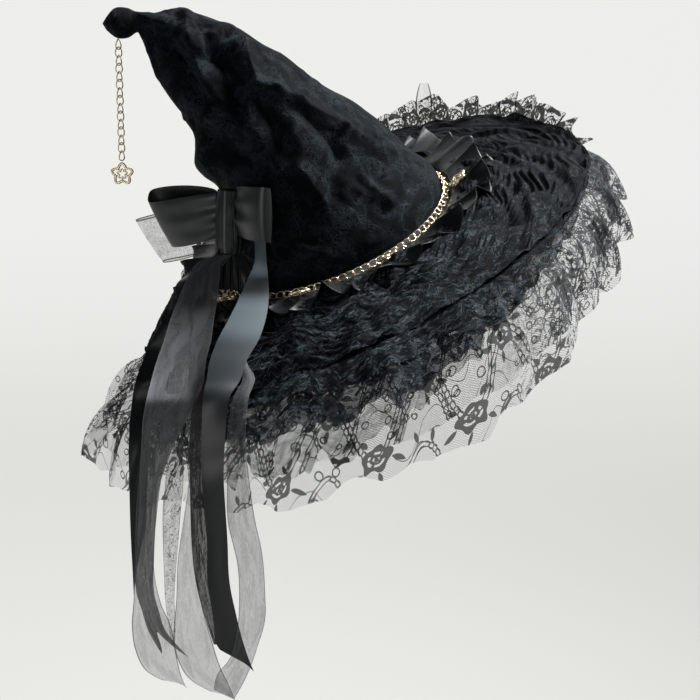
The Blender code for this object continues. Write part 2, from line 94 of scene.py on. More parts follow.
FOLDS = [
    # from section, angle, to section, angle, half width in sections, depth inward
    (8.7, 243, 12.5, 278, 0.9, 9.0),
    (5.0, 250, 9.6, 300, 1.0, 7.0),
    (4.0, 200, 6.0, 235, 1.0, 8.0),
    (2.6, 305, 5.6, 335, 0.8, 4.0),
    (1.5, 262, 2.6, 310, 0.6, 3.5),
    (6.0, 100, 10.0, 75, 1.0, 6.0),
    (2.5, 60, 4.5, 110, 0.9, 4.5),
    (6.8, 262, 11.0, 262, 0.5, -3.0),
]
CREASES = [
    # pixel x, y at one end, x, y at the other, half width, depth inward (below zero for a ridge)
    (184, 14, 187, 36, 9, -3.0),
    (187, 36, 206, 92, 10, -4.0),
    (137, 15, 166, 25, 7, -2.5),
    (166, 25, 183, 42, 9, -3.5),
    (170, 45, 203, 96, 8, 3.0),
    (223, 24, 202, 50, 6, -2.5),
    (229, 29, 209, 58, 8, 4.5),
    (222, 58, 232, 92, 16, 5.0),
    (243, 40, 257, 84, 8, -3.0),
    (257, 84, 276, 88, 7, -2.5),
    (276, 88, 298, 98, 8, -3.0),
    (298, 98, 345, 124, 9, -3.0),
    (345, 124, 392, 152, 9, -2.5),
    (305, 110, 345, 156, 8, 3.0),
    (250, 94, 249, 112, 6, -2.5),
    (262, 100, 282, 150, 12, 4.5),
    (206, 118, 256, 132, 10, -2.5),
    (380, 140, 376, 176, 7, 3.0),
    (370, 178, 389, 201, 6, -2.5),
    (403, 168, 391, 200, 7, -2.5),
    (345, 156, 330, 206, 9, 3.0),
    (300, 168, 330, 206, 9, -3.0),
    (275, 222, 322, 222, 6, 2.5),
    (275, 240, 332, 258, 6, -2.5),
    (370, 244, 400, 240, 5, -2.0),
    (210, 150, 262, 172, 10, 3.0),
]
BUCKLES = 190                   # small random creases of the crushed velvet


def unit(v):
    return v / np.maximum(np.linalg.norm(v, axis=-1, keepdims=True), 1e-9)


def brim_turn():
    """Matrix of the two tilts of the worn hat."""
    a, b = FRONT_UP, NEAR_DOWN
    about_y = np.array([[math.cos(a), 0, -math.sin(a)], [0, 1, 0], [math.sin(a), 0, math.cos(a)]])
    about_x = np.array([[1, 0, 0], [0, math.cos(b), -math.sin(b)], [0, math.sin(b), math.cos(b)]])
    return about_y @ about_x


def even_angles(count):
    """Angles of a full turn in equal steps, in radians."""
    return np.arange(count) * 2 * math.pi / count


def lengths(vectors):
    return np.linalg.norm(vectors, axis=-1)


def side_by_side(*parts):
    """Arrays or numbers brought to one shape and joined along a last axis."""
    return np.stack(np.broadcast_arrays(*parts), -1)


def hat_to_world(p):
    """Points given in the brim's own plane, turned by the two tilts of the worn hat."""
    return np.asarray(p, float) @ brim_turn().T


def pixels(points):
    """Where points show in the photograph's frame: a pinhole view along -BACK."""
    ray = points - (AIM + BACK * CAMERA_DISTANCE)
    depth = ray @ -BACK
    scale = CAMERA_DISTANCE / PIXEL / depth
    half = FRAME_SIDE / 2
    return np.stack([half + ray[..., 0] * scale, half - (ray @ SCREEN_UP) * scale], -1)


def traced(x, y, depth):
    """Point that shows at a pixel of the frame and has this depth along Y."""
    eye = AIM + BACK * CAMERA_DISTANCE
    slope = PIXEL / CAMERA_DISTANCE
    half = FRAME_SIDE / 2
    line = np.array([1.0, 0, 0]) * (x - half) * slope - SCREEN_UP * (y - half) * slope - BACK
    return eye + line * (depth - eye[1]) / line[1]


def crown_sections():
    """Sections as lower x, z, upper x, z, mid y, half depth and share of the tilt, in whole millimetres.

    Each section's middle stands over the middle of the tilted brim, so its depth follows from its height.
    """
    rows = []
    for low_x, low_y, high_x, high_y, deep, level in CROWN_TRACE:
        depth = 0.0
        for _ in range(20):
            low, high = traced(low_x, low_y, depth), traced(high_x, high_y, depth)
            height = ((low + high) / 2 @ brim_turn())[2]
            depth = -math.sin(NEAR_DOWN) * height
        rows.append((*np.round([low[0], low[2], high[0], high[2], depth]), deep, level))
    return rows


def through(rows, at):
    """Smooth curve through the rows of a table: a Catmull-Rom spline read at row numbers with fractions."""
    rows = np.asarray(rows, float)
    i = np.clip(np.floor(at).astype(int), 0, len(rows) - 2)
    t = (at - i)[:, None]
    before, a, b, after = (rows[np.clip(i + k, 0, len(rows) - 1)] for k in (-1, 0, 1, 2))
    return 0.5 * (2 * a + (b - before) * t + (2 * before - 5 * a + 4 * b - after) * t ** 2
                  + (3 * a - before - 3 * b + after) * t ** 3)


def grid_normals(grid, wrap):
    """Cross product of the steps along the rows and along the columns, of unit length."""
    along = np.gradient(grid, axis=0)
    if wrap:
        across = (np.roll(grid, -1, 1) - np.roll(grid, 1, 1)) / 2
    else:
        across = np.gradient(grid, axis=1)
    return unit(np.cross(along, across))


def grid_faces(rows, cols, wrap, first=0):
    """Corner numbers of the quads of a grid whose vertices start at first."""
    i, j = np.meshgrid(np.arange(rows - 1), np.arange(cols if wrap else cols - 1), indexing="ij")
    k = (j + 1) % cols
    corners = [i * cols + j, i * cols + k, (i + 1) * cols + k, (i + 1) * cols + j]
    return first + np.stack(corners, -1).reshape(-1, 4)


def add_mesh(name, points, faces, finish, uv=None):
    """Object whose mesh has these points (mm) and groups of faces, with a UV pair for each point if given."""
    mesh = bpy.data.meshes.new(name)
    points = np.asarray(points, np.float32).reshape(-1, 3) * MM
    groups = [np.asarray(f, np.int32) for f in faces]
    corners = np.concatenate([f.ravel() for f in groups])
    sizes = np.concatenate([np.full(len(f), f.shape[1], np.int32) for f in groups])
    mesh.vertices.add(len(points))
    mesh.vertices.foreach_set("co", points.ravel())
    mesh.loops.add(len(corners))
    mesh.loops.foreach_set("vertex_index", corners)
    mesh.polygons.add(len(sizes))
    mesh.polygons.foreach_set("loop_start", np.concatenate([[0], np.cumsum(sizes)[:-1]]).astype(np.int32))
    mesh.polygons.foreach_set("use_smooth", np.full(len(sizes), True))
    if uv is not None:
        layer = mesh.uv_layers.new(name="cloth")
        layer.data.foreach_set("uv", np.asarray(uv, np.float32).reshape(-1, 2)[corners].ravel())
    mesh.update(calc_edges=True)
    mesh.validate()
    mesh.materials.append(finish)
    piece = bpy.data.objects.new(name, mesh)
    bpy.context.scene.collection.objects.link(piece)
    return piece


class Field:
    """A number or colour that varies over a surface; arithmetic on it adds Math nodes to its material."""

    def __init__(self, socket):
        self.socket = socket

    def make(self, kind, settings=(), inputs=(), output=0):
        """Adds a node of any kind: its settings first (ramp stops too), then its inputs, by name or number."""
        tree = self.socket.id_data
        node = tree.nodes.new(kind)
        for key, value in dict(settings).items():
            if key == "stops":
                for n, (place, colour) in enumerate(value):
                    stop = node.color_ramp.elements[n] if n < 2 else node.color_ramp.elements.new(place)
                    stop.position, stop.color = place, colour
            else:
                setattr(node, key, value)
        for key, value in dict(inputs).items():
            if isinstance(value, Field):
                tree.links.new(value.socket, node.inputs[key])
            else:
                node.inputs[key].default_value = value
        return Field(node.outputs[output])

    def math(self, operation, *others, first=None):
        values = (first, self) if first is not None else (self, *others)
        return self.make("ShaderNodeMath", {"operation": operation}, dict(enumerate(values)))

    def __add__(self, other):
        return self.math("ADD", other)

    def __sub__(self, other):
        return self.math("SUBTRACT", other)

    def __mul__(self, other):
        return self.math("MULTIPLY", other)

    def __truediv__(self, other):
        return self.math("DIVIDE", other)

    def __pow__(self, other):
        return self.math("POWER", other)

    def __lt__(self, other):
        return self.math("LESS_THAN", other)

    def __gt__(self, other):
        return self.math("GREATER_THAN", other)

    def __abs__(self):
        return self.math("ABSOLUTE")

    def __rsub__(self, other):
        return self.math("SUBTRACT", first=other)

    __radd__, __rmul__ = __add__, __mul__

    def either(self, other):
        return self.math("MAXIMUM", other)

    def both(self, other):
        return self.math("MINIMUM", other)

    def step(self, low, high):
        """0 below low, 1 above high, smooth between."""
        return self.make("ShaderNodeMapRange", {"interpolation_type": "SMOOTHSTEP"},
                         {"Value": self, "From Min": low, "From Max": high})

    def blend(self, dark, light):
        """Colour between two colours by this field."""
        return self.make("ShaderNodeMix", {"data_type": "RGBA"}, {0: self, 6: dark, 7: light}, output=2)

    def noise(self, size, detail=4.0, rough=0.55, distortion=0.0):
        """Noise whose features are about size mm wide, on this vector in metres."""
        values = {"Vector": self, "Scale": 1 / (size * MM), "Detail": detail, "Roughness": rough,
                  "Distortion": distortion}
        return self.make("ShaderNodeTexNoise", {}, values)

    def stretched(self, x, y, z=1.0):
        return self.make("ShaderNodeMapping", {}, {"Vector": self, "Scale": (x, y, z)})

    def parts(self):
        split = self.make("ShaderNodeSeparateXYZ", {}, {0: self}).socket.node
        return [Field(out) for out in split.outputs]


class Finish:
    """A material being made: its shader, its coordinates and the links into its sockets."""

    def __init__(self, name, **constants):
        self.material = bpy.data.materials.new(name)
        self.material.use_nodes = True
        self.tree = self.material.node_tree
        self.shader = self.tree.nodes["Principled BSDF"]
        for key, value in constants.items():
            self.shader.inputs[key.replace("_", " ")].default_value = value
        node = self.tree.nodes.new("ShaderNodeTexCoord")
        self.place, self.cloth = Field(node.outputs["Object"]), Field(node.outputs["UV"])

    def set(self, **fields):
        for key, field in fields.items():
            self.tree.links.new(field.socket, self.shader.inputs[key.replace("_", " ")])

    def bump(self, height, depth, strength=1.0):
        """Relief of depth mm at full height."""
        self.set(Normal=height.make("ShaderNodeBump", {}, {"Height": height, "Distance": depth * MM,
                                                           "Strength": strength}))


def grey(value, warm=0.0):
    """Dark neutral colour, a little cold, or warm above zero."""
    return (value * (0.86 + warm), value, value * (1.14 - warm), 1.0)


velvet = Finish("crushed_velvet", Sheen_Weight=0.05, Sheen_Roughness=0.3, Sheen_Tint=(0.5, 0.72, 0.85, 1.0),
                Specular_IOR_Level=0.055)
# Painted sheen: worm-like pile flecks inside large sheen patches, and thin crease lines, are painted lighter and
# bluer into the base colour; the same masks also set the roughness and the bump.
sheen_patches = velvet.place.noise(24, 3, 0.5, 1.2).step(0.40, 0.62)
worms = velvet.place.noise(3.6, 3, 0.6, 1.8)
pile_and_sheen = ((1 - abs(worms - 0.5).step(0.0, 0.07)) * 0.6 + worms.step(0.45, 0.7) * 0.4) * (sheen_patches * 0.85 + 0.15)
bends = velvet.place.noise(30, 1, 0.4, 0.6)
crease_lines_and_highlight = (1 - abs(bends - 0.47).step(0.0, 0.010)).either(1 - abs(bends - 0.58).step(0.0, 0.008)) * sheen_patches
painted_light = (pile_and_sheen * 0.9).either(crease_lines_and_highlight * 0.8)
# The lighter colour is the painted sheen of the pile and the painted highlight on the crease lines.
velvet.set(Base_Color=painted_light.blend((0.0010, 0.0015, 0.0021, 1.0), (0.035, 0.048, 0.059, 1.0)),
           Roughness=0.8 - pile_and_sheen * 0.4)
velvet.bump(pile_and_sheen * 0.5 + velvet.place.noise(0.9, 2) * 0.3 + crease_lines_and_highlight * 0.5, 1.2, 0.9)


SECTIONS = crown_sections()


def crown_rings(at, phi, inset=0.0):
    """Ellipses through the crown's sections: half axes are the half chord and the half depth, less the inset."""
    lx, lz, ux, uz, y, deep, level = through(SECTIONS, at).T
    low, high = np.stack([lx, y, lz], -1), np.stack([ux, y, uz], -1)
    middle, half = (low + high) / 2, (high - low) / 2
    wide = lengths(half)
    e1 = half / wide[:, None]
    e2 = unit(hat_to_world([0, 1, 0]) * level[:, None] - BACK * (1 - level[:, None]))
    e2 = unit(e2 - e1 * np.sum(e1 * e2, -1, keepdims=True))
    inset = inset if np.ndim(inset) else np.full((len(at), len(phi)), inset)
    a = (wide[:, None] - inset) * np.cos(phi)
    b = (deep[:, None] - inset) * np.sin(phi)
    return middle[:, None] + a[..., None] * e1[:, None] + b[..., None] * e2[:, None]


def fold_depth(at, degrees):
    """Sum of the folds' depths: each falls off with the distance from its line, sharper than a bell curve."""
    depth = np.zeros(np.broadcast(at, degrees).shape)
    here = side_by_side(at, np.mod(degrees, 360) / 26.0)
    for s0, a0, s1, a1, wide, deep in FOLDS:
        start, end = np.array([s0, a0 / 26.0]), np.array([s1, a1 / 26.0])
        run = end - start
        t = np.clip(((here - start) @ run) / (run @ run), 0, 1)
        away = lengths(here - start - t[..., None] * run)
        depth += deep * np.exp(-((away / wide) ** 1.7))
    return depth


def from_line(points, a, b):
    """Distance of each point from the segment a-b, and how far along it the foot lies, from 0 to 1."""
    run = b - a
    t = np.clip(((points - a) @ run) / max(run @ run, 1e-9), 0, 1)
    return lengths(points - a - t[..., None] * run), t


def crease_depth(grid, normals):
    """Depth of the listed creases: each follows the near surface between two pixels, with a sharp middle."""
    flat, facing = grid.reshape(-1, 3), normals.reshape(-1, 3)
    seen = facing @ BACK > 0.05
    shown = pixels(flat)
    depth = np.zeros(len(flat))
    for x0, y0, x1, y1, wide, deep in CREASES:
        share = np.linspace(0, 1, 6)[:, None]
        marks = np.array([x0, y0]) * (1 - share) + np.array([x1, y1]) * share
        away = lengths(shown[None] - marks[:, None]) + np.where(seen, 0, 1e6)
        path = flat[np.argmin(away, axis=1)]
        near = np.full(len(flat), 1e6)
        for a, b in zip(path[:-1], path[1:]):
            near = np.minimum(near, from_line(flat, a, b)[0])
        depth += np.where(seen, deep * np.clip(1 - near / (1.4 * wide), 0, 1) ** 1.2, 0)
    return depth.reshape(grid.shape[:2])


def buckle_depth(grid, rng):
    """Crossing creases of pressed velvet: short segments on two slanting families, up to 2 mm deep."""
    rows, cols = grid.shape[:2]
    flat = grid.reshape(-1, 3)
    depth = np.zeros(len(flat))
    for _ in range(BUCKLES):
        row = rng.integers(int(rows * 0.06), int(rows * 0.80))
        col = rng.integers(0, cols)
        lean = rng.choice([-1, 1]) * rng.uniform(0.5, 1.2)
        reach = rng.integers(8, 24)
        end_row = min(row + reach, rows - 1)
        end_col = int(col + lean * reach) % cols
        near, along = from_line(flat, grid[row, col], grid[end_row, end_col])
        fade = np.sin(np.pi * np.clip(along, 0.08, 0.92))
        wide = rng.uniform(4, 12)
        depth += rng.uniform(-2.6, 2.6) * fade * np.clip(1 - near / wide, 0, 1) ** 1.15
    return depth.reshape(rows, cols)


def declare(piece, replaced=()):
    """The piece moves with the hat and stands for its CAD nodes."""
    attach(piece, "root")
    if replaced:
        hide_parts(*replaced)
    return piece


def make_crown():
    at = np.linspace(0, len(SECTIONS) - 1, CROWN_ROWS)
    phi = even_angles(CROWN_COLUMNS)
    base = crown_rings(at, phi)
    normals = grid_normals(base, True)
    normals *= np.sign(np.sum(normals * (base - base.mean(1, keepdims=True)), -1, keepdims=True))
    calm = np.clip(at - 0.6, 0, 1) * np.clip(15.6 - at, 0, 1)
    deep = through(SECTIONS, at)[:, 5]
    dents = fold_depth(at[:, None], np.degrees(phi)[None])
    dents = dents * np.clip(0.4 * deep[:, None] / np.maximum(np.abs(dents), 1e-6), 0, 1)
    dents += crease_depth(base, normals) * 1.7 + buckle_depth(base, np.random.default_rng(7))
    outer = crown_rings(at, phi, dents * calm[:, None])
    low = np.linspace(0, HOLLOW_TOP, HOLLOW_ROWS)
    pick = np.round(low / at[-1] * (CROWN_ROWS - 1)).astype(int)
    inner = crown_rings(at[pick], phi, (dents * calm[:, None])[pick] + CROWN_WALL)
    points = np.concatenate([outer.reshape(-1, 3), inner.reshape(-1, 3), [CROWN_TIP], [HOLLOW_TIP]])
    first_in = outer.shape[0] * CROWN_COLUMNS
    j = np.arange(CROWN_COLUMNS)
    k = (j + 1) % CROWN_COLUMNS
    tip, top = first_in + len(inner) * CROWN_COLUMNS, first_in + len(inner) * CROWN_COLUMNS + 1
    last_out, last_in = first_in - CROWN_COLUMNS, tip - CROWN_COLUMNS
    quads = np.concatenate([
        grid_faces(len(outer), CROWN_COLUMNS, True),
        grid_faces(len(inner), CROWN_COLUMNS, True, first_in)[:, ::-1],
        np.stack([k, j, first_in + j, first_in + k], -1),
    ])
    caps = np.concatenate([np.stack([last_out + j, last_out + k, tip + 0 * j], -1),
                           np.stack([last_in + k, last_in + j, top + 0 * j], -1)])
    crown = add_mesh("crown_velvet", points, [quads, caps], velvet.material)
    return declare(crown, ["crown"])


make_crown()


# Brim: a disc of stiffened cloth, 2.5 mm thick, that dips at its far and left edges.
# It is covered with plain black cloth, which shows from below.
OPENING = (103.0, 98.7)
BOARD = 2.5
BRIM_ROWS, BRIM_COLUMNS = 24, 288
BRIM_EDGE = [
    # angle in degrees, radius, height over the head opening
    (0, 228, -18), (30, 226, -20), (60, 226, -22), (90, 226, -28), (120, 222, -47), (150, 210, -67),
    (180, 207, -74), (210, 214, -53), (240, 224, -22), (270, 228, -10), (300, 228, -8), (330, 228, -12),
]


def round_table(table, angle):
    """Smooth periodic reading of a table whose first column is an angle in degrees."""
    t = np.array(table, float)
    keys = np.concatenate([t[-2:, 0] - 360, t[:, 0], t[:2, 0] + 360])
    rows = np.concatenate([t[-2:], t, t[:2]])[:, 1:]
    a = np.mod(np.degrees(angle), 360)
    i = np.clip(np.searchsorted(keys, a, side="right") - 1, 1, len(keys) - 3)
    w = ((a - keys[i]) / (keys[i + 1] - keys[i]))[..., None]
    w = w * w * (3 - 2 * w) * 0.5 + w * 0.5
    return np.moveaxis(rows[i] * (1 - w) + rows[i + 1] * w, -1, 0)


def brim_height(radius, angle):
    """Height of the brim's middle: it falls with the 1.5th power of the way out."""
    r_edge, z_edge = round_table(BRIM_EDGE, angle)
    return z_edge * np.clip((radius - 104) / (r_edge - 104), 0, 1) ** 1.5


def polar(radius, angle, height):
    return side_by_side(radius * np.cos(angle), radius * np.sin(angle), height)


def closed_sheet(grid, thick, wrap):
    """Points and faces of a two-sided sheet: the grid moved half a thickness along and against its normals."""
    rows, cols = grid.shape[:2]
    n = rows * cols
    half = grid_normals(grid, wrap) * thick / 2
    points = np.concatenate([(grid + half).reshape(-1, 3), (grid - half).reshape(-1, 3)])
    j = np.arange(cols if wrap else cols - 1)
    k = (j + 1) % cols
    last = (rows - 1) * cols
    faces = [grid_faces(rows, cols, wrap)[:, ::-1], grid_faces(rows, cols, wrap, n),
             np.stack([j, k, n + k, n + j], -1), np.stack([last + k, last + j, n + last + j, n + last + k], -1)]
    if not wrap:
        a = np.arange(rows - 1) * cols
        b, end = a + cols, cols - 1
        faces += [np.stack([b, a, n + a, n + b], -1), np.stack([a + end, b + end, n + b + end, n + a + end], -1)]
    return points, np.concatenate(faces)


cover = Finish("brim_cover", Roughness=0.8, Specular_IOR_Level=0.25, Sheen_Weight=0.05)
threads = cover.place.noise(0.8, 2).step(0.3, 0.7)
cover.set(Base_Color=(cover.place.noise(30, 3) * 0.6 + threads * 0.4).blend(grey(0.006), grey(0.016)))
cover.bump(threads, 0.15, 0.6)

angle = even_angles(BRIM_COLUMNS)
r_edge, z_edge = round_table(BRIM_EDGE, angle)
rim = polar(np.ones_like(angle), angle, 0.0)
inner_edge = rim * [OPENING[0], OPENING[1], 0]
share = np.linspace(0, 1, BRIM_ROWS)[1:, None]
radius = 120 + (r_edge - 120) * share
board_grid = np.concatenate([inner_edge[None], polar(radius, angle, brim_height(radius, angle))])
points, faces = closed_sheet(hat_to_world(board_grid), BOARD, True)
declare(add_mesh("brim_board", points, [faces], cover.material), ["brim"])


# Flounce: a gathered frill of black floral lace on net, sewn round the brim's edge and hanging from it.
# Its hem is cut straight and stands out in stiff folds.
FLOUNCE = [
    # angle in degrees, how far it stands out, how far it falls
    (0, 28, 40), (30, 38, 48), (60, 50, 56), (90, 50, 60), (120, 34, 62), (140, 18, 62), (155, 20, 62),
    (168, 38, 62), (182, 50, 62), (195, 34, 64), (210, 20, 66), (225, 20, 70), (240, 28, 78), (258, 42, 84),
    (285, 46, 84), (300, 46, 76), (320, 36, 56), (340, 24, 44),
]
WAVES = 20
WAVE_HEIGHT = 8.0
FLOUNCE_COLUMNS, FLOUNCE_ROWS = 960, 50


def round_corners(angle, counts, seed):
    """Sum of straight-sided waves, a whole number of each round the hat: the slopes of a stiff hem."""
    rng = np.random.default_rng(seed)
    total = 0.0
    for n in counts:
        total = total + np.arcsin(np.sin(n * angle + rng.uniform(0, 2 * math.pi))) * rng.uniform(0.4, 0.7)
    return total / math.sqrt(len(counts))


def round_noise(angle, counts, seed):
    """Sum of sines, a whole number of waves of each round the hat, with random phases and strengths."""
    rng = np.random.default_rng(seed)
    total = 0.0
    for n in counts:
        total = total + np.sin(n * angle + rng.uniform(0, 2 * math.pi)) * rng.uniform(0.5, 1.0)
    return total / math.sqrt(len(counts))


def flounce_surface(u, angle, lift=0.0, stiff=1.0, seed=1):
    """The flounce leaves the brim level and bends down a quarter of an ellipse, its folds growing to the hem."""
    r_edge, z_edge = round_table(BRIM_EDGE, angle)
    out, fall = round_table(FLOUNCE, angle)
    start = hat_to_world(polar(r_edge - 8, angle, z_edge - 3.4))
    outward = unit(hat_to_world(polar(np.ones_like(angle), angle, 0.0)) * [1, 1, 0])
    up = np.array([0.0, 0, 1])
    bend = u * math.pi / 2
    p = start + outward * ((out + 8) * np.sin(bend))[..., None] - up * (fall * (1 - np.cos(bend)))[..., None]
    normal = outward * np.sin(bend)[..., None] + up * np.cos(bend)[..., None]
    phase = WAVES * angle + 0.8 * stiff * round_noise(angle, (3, 5, 8, 13), seed)
    fold = np.sin(phase) * (1 - stiff) + np.arcsin(0.95 * np.sin(phase)) / 1.25 * stiff
    height = WAVE_HEIGHT * (1 + 0.35 * stiff * round_noise(angle, (4, 7, 11, 15), seed + 1))
    right = np.clip(np.cos(angle - 0.1), 0, 1) ** 2
    gathers = (1.6 + 2.2 * right) * stiff * (1 - u) * u * 4 * round_noise(angle, (61, 83, 97, 118), seed + 2)
    side = (4.5 + 4 * right) * stiff * u * round_corners(angle, (13, 23, 31, 44), seed + 3)
    return p + normal * (height * u ** 0.9 * fold + gathers + side + lift)[..., None]


def cloth_map(grid):
    """UV in metres on the cloth: the mean arc length round the sheet, and the arc length down each column."""
    closed = np.concatenate([grid, grid[:, :1]], axis=1)
    across = lengths(np.diff(closed, axis=1)).mean(0)
    down = lengths(np.diff(grid, axis=0))
    s = np.concatenate([[0], np.cumsum(across)])[:-1]
    d = np.concatenate([np.zeros((1, grid.shape[1])), np.cumsum(down, axis=0)])
    return np.stack([np.broadcast_to(s, d.shape), d], -1) * MM


def leaf(x, y, cx, cy, degrees, long, wide):
    """Pointed oval: the half width falls as 1 - (u / long) squared."""
    c, s = math.cos(math.radians(degrees)), math.sin(math.radians(degrees))
    u = (x - cx) * c + (y - cy) * s
    v = abs((y - cy) * c - (x - cx) * s)
    edge = (1 - (u / long) ** 2.0) * wide
    return v < edge


def ring(x, y, cx, cy, radius, line):
    away = ((x - cx) ** 2.0 + (y - cy) ** 2.0) ** 0.5
    return abs(away - radius) < line


def lace_threads(finish, net_share, wide=78.0, tall=62.0):
    """How dense the lace is: roses in staggered rows, leaves and curls beside them, and double vines from rose
    to rose, all on a net of crossing threads."""
    drift = finish.cloth.noise(40, 2)
    s, d, _ = (finish.cloth.stretched(1000, 1000, 1000)).parts()
    s, d = s + (drift - 0.5) * 9.0, d + (drift - 0.5) * 7.0
    row = (d / tall).math("FLOOR")
    odd = row - (row / 2).math("FLOOR") * 2
    across = s + odd * (wide / 2)
    column = (across / wide).math("FLOOR")
    turn = 1 - (column - (column / 2).math("FLOOR") * 2) * 2
    x = (across - (column + 0.5) * wide) * turn
    y = d - (row + 0.5) * tall
    r = ((x / 1.25) ** 2.0 + y ** 2.0) ** 0.5
    a = y.math("ARCTAN2", x)
    petals = (a * 5 + 0.4).math("COSINE")
    rose = (r < petals * 1.3 + 9.6).both(1 - (r < 5.6).both(r > 3.9).both((a * 3).math("COSINE") < 0.75))
    rose = rose.both(1 - (r < 2.2).both(r > 1.3))
    motif = rose
    for cx, cy, degrees, long, broad in ((17, 6, 25, 6, 2.2), (-17, 7, 160, 6, 2.2), (15, -11, -35, 5, 1.9),
                                         (-9, -15, 235, 5, 1.9), (3, 15, 75, 5, 1.8), (32, -4, 75, 5, 1.7)):
        motif = motif.either(leaf(x, y, cx, cy, degrees, long, broad))
    for cx, cy, radius in ((-32, -3, 3.2), (-29, 18, 2.6), (27, 20, 3.4), (10, -24, 2.4), (-8, 26, 2.0)):
        motif = motif.either(ring(x, y, cx, cy, radius, 0.55))
    sway = (s * (2 * math.pi / wide)).math("COSINE")
    slope = (s * (2 * math.pi / wide)).math("SINE") * (math.pi * tall / wide)
    off = (d - tall / 2 - (sway * 0.5 + 0.5) * tall) / tall
    off = abs(off - (off + 0.5).math("FLOOR")) * tall / (slope ** 2.0 + 1) ** 0.5
    vine = abs(off - 1.5) < 0.36
    bead = abs(((s + d) / 8.0).math("FRACT") - 0.5) * 8.0
    ovals = abs((bead ** 2.0 * 0.4 + off ** 2.0) ** 0.5 - 2.2) < 0.36
    twig = ((s + 17) * (2 * math.pi / wide * 1.5)).math("SINE") * 13
    twig = twig + ((d + s * 0.3) / 41.0).math("FRACT") * 41.0 - 20
    motif = motif.either(vine).either(ovals.both(off < 3.0)).either((abs(twig) < 0.4).both(r > 12))
    cell = math.pi / 1.9
    one, two = ((s + d) * cell).math("SINE"), ((s - d) * cell).math("SINE")
    net = (abs(one) < 0.22).either(abs(two) < 0.22) * net_share
    return motif, (motif * 0.85).either(net)


lace = Finish("black_lace", Roughness=0.8, Specular_IOR_Level=0.2)
motif, threads = lace_threads(lace, 0.70)
x, _, _ = lace.place.parts()
tangle = (1 - abs(lace.cloth.noise(12, 2, 0.5, 1.5) - 0.5).step(0.024, 0.05)) * x.step(0.12, 0.18) * 0.9
threads = threads.either(tangle)
lace.set(Base_Color=motif.blend(grey(0.05), grey(0.010)), Alpha=threads)
lace.bump(motif, 0.3, 0.5)


def make_flounce(name, low, high, lift, seed, replaced):
    angle = even_angles(FLOUNCE_COLUMNS)
    longest = high * (1 + 0.045 * round_corners(angle, (9, 17, 26, 39), seed + 9))
    u = low + (longest - low) * np.linspace(0, 1, FLOUNCE_ROWS)[:, None]
    around = np.broadcast_to(angle, u.shape)
    grid = flounce_surface(u, around, lift, 1.0, seed)
    faces = grid_faces(FLOUNCE_ROWS, FLOUNCE_COLUMNS, True)[:, ::-1]
    piece = add_mesh(name, grid, [faces], lace.material, cloth_map(grid))
    return declare(piece, replaced)


make_flounce("lace_frill", 0.0, 1.0, 0.0, 1, ["lace_flounce"])
make_flounce("lace_frill_under", 0.12, 0.82, -5.0, 21, [])


# Ruching: dark tulle over lace, gathered in three puffs on the brim and turned down over its edge.
# The gathers cross it in fine crinkles; on the near side it falls further over the flounce.
RUCHING_ABOVE = 7.5
RUCHING_FOOT = 122.0
RUCHING_COLUMNS, RUCHING_ROWS, ROLL_ROWS = 640, 120, 24
FALL_COLUMNS, FALL_ROWS = 460, 70
FALLS = [
    # name, from, to, middle angle, half width in degrees, height over the flounce, opacity
    ("tulle_fall", 0.05, 0.56, 262, 84, 5.5, 0.80),
    ("tulle_fall_under", 0.03, 0.78, 256, 76, 3.5, 0.46),
]


def crinkle(angle, away, seed, waves=7, short=4.0, long=10.0):
    """Ridges of crumpled tulle: 1 less the size of a sum of waves round the hat, bent by three slower ones."""
    rng = np.random.default_rng(seed)
    warp = 7 * np.sin(4 * angle + away / 31 + 1) + 5 * np.sin(11 * angle - away / 23)
    warp = warp + 3 * np.sin(23 * angle + away / 9)
    total = 0.0
    for _ in range(waves):
        turns = rng.integers(-14, 15)
        length = rng.uniform(short, long)
        total = total + np.sin(turns * angle + (away + warp) * 2 * math.pi / length + rng.uniform(0, 6.3))
    return 1 - np.abs(total) / math.sqrt(waves)


def tulle_finish(name, opacity, dark, light):
    finish = Finish(name, Roughness=0.75, Specular_IOR_Level=0.08)
    motif, threads = lace_threads(finish, 0.5)
    slub = finish.cloth.stretched(0.25, 1.0).noise(2.0, 5, 0.65, 1.6)
    folds = finish.cloth.stretched(0.5, 1.0).noise(9.0, 4, 0.6, 1.5)
    x, y, _ = finish.place.parts()
    # Painted shade and light: slubs and folds are painted lighter and darker like lit crinkles and their shadows,
    # and the colour darkens towards the right and the far side.
    painted_light = slub.step(0.44, 0.64) * folds.step(0.40, 0.62) * (1.0 - x * 3.2 - y * 2.6)
    finish.set(Base_Color=(painted_light * (1 - motif * 0.6)).blend(dark, light))
    if opacity < 1:
        cover = folds.step(0.3, 0.75) * 0.35 + slub.step(0.4, 0.6) * 0.15 + (opacity - 0.25)
        finish.set(Alpha=cover.either(motif * 0.95))
    finish.bump(slub * 0.5 + folds * 0.5, 1.6, 0.9)
    return finish


# The lighter colour is the painted light on the crinkles, the darker one the tulle in shadow.
tulle = tulle_finish("gathered_tulle", 1.0, (0.0015, 0.002, 0.003, 1.0), (0.066, 0.086, 0.100, 1.0))


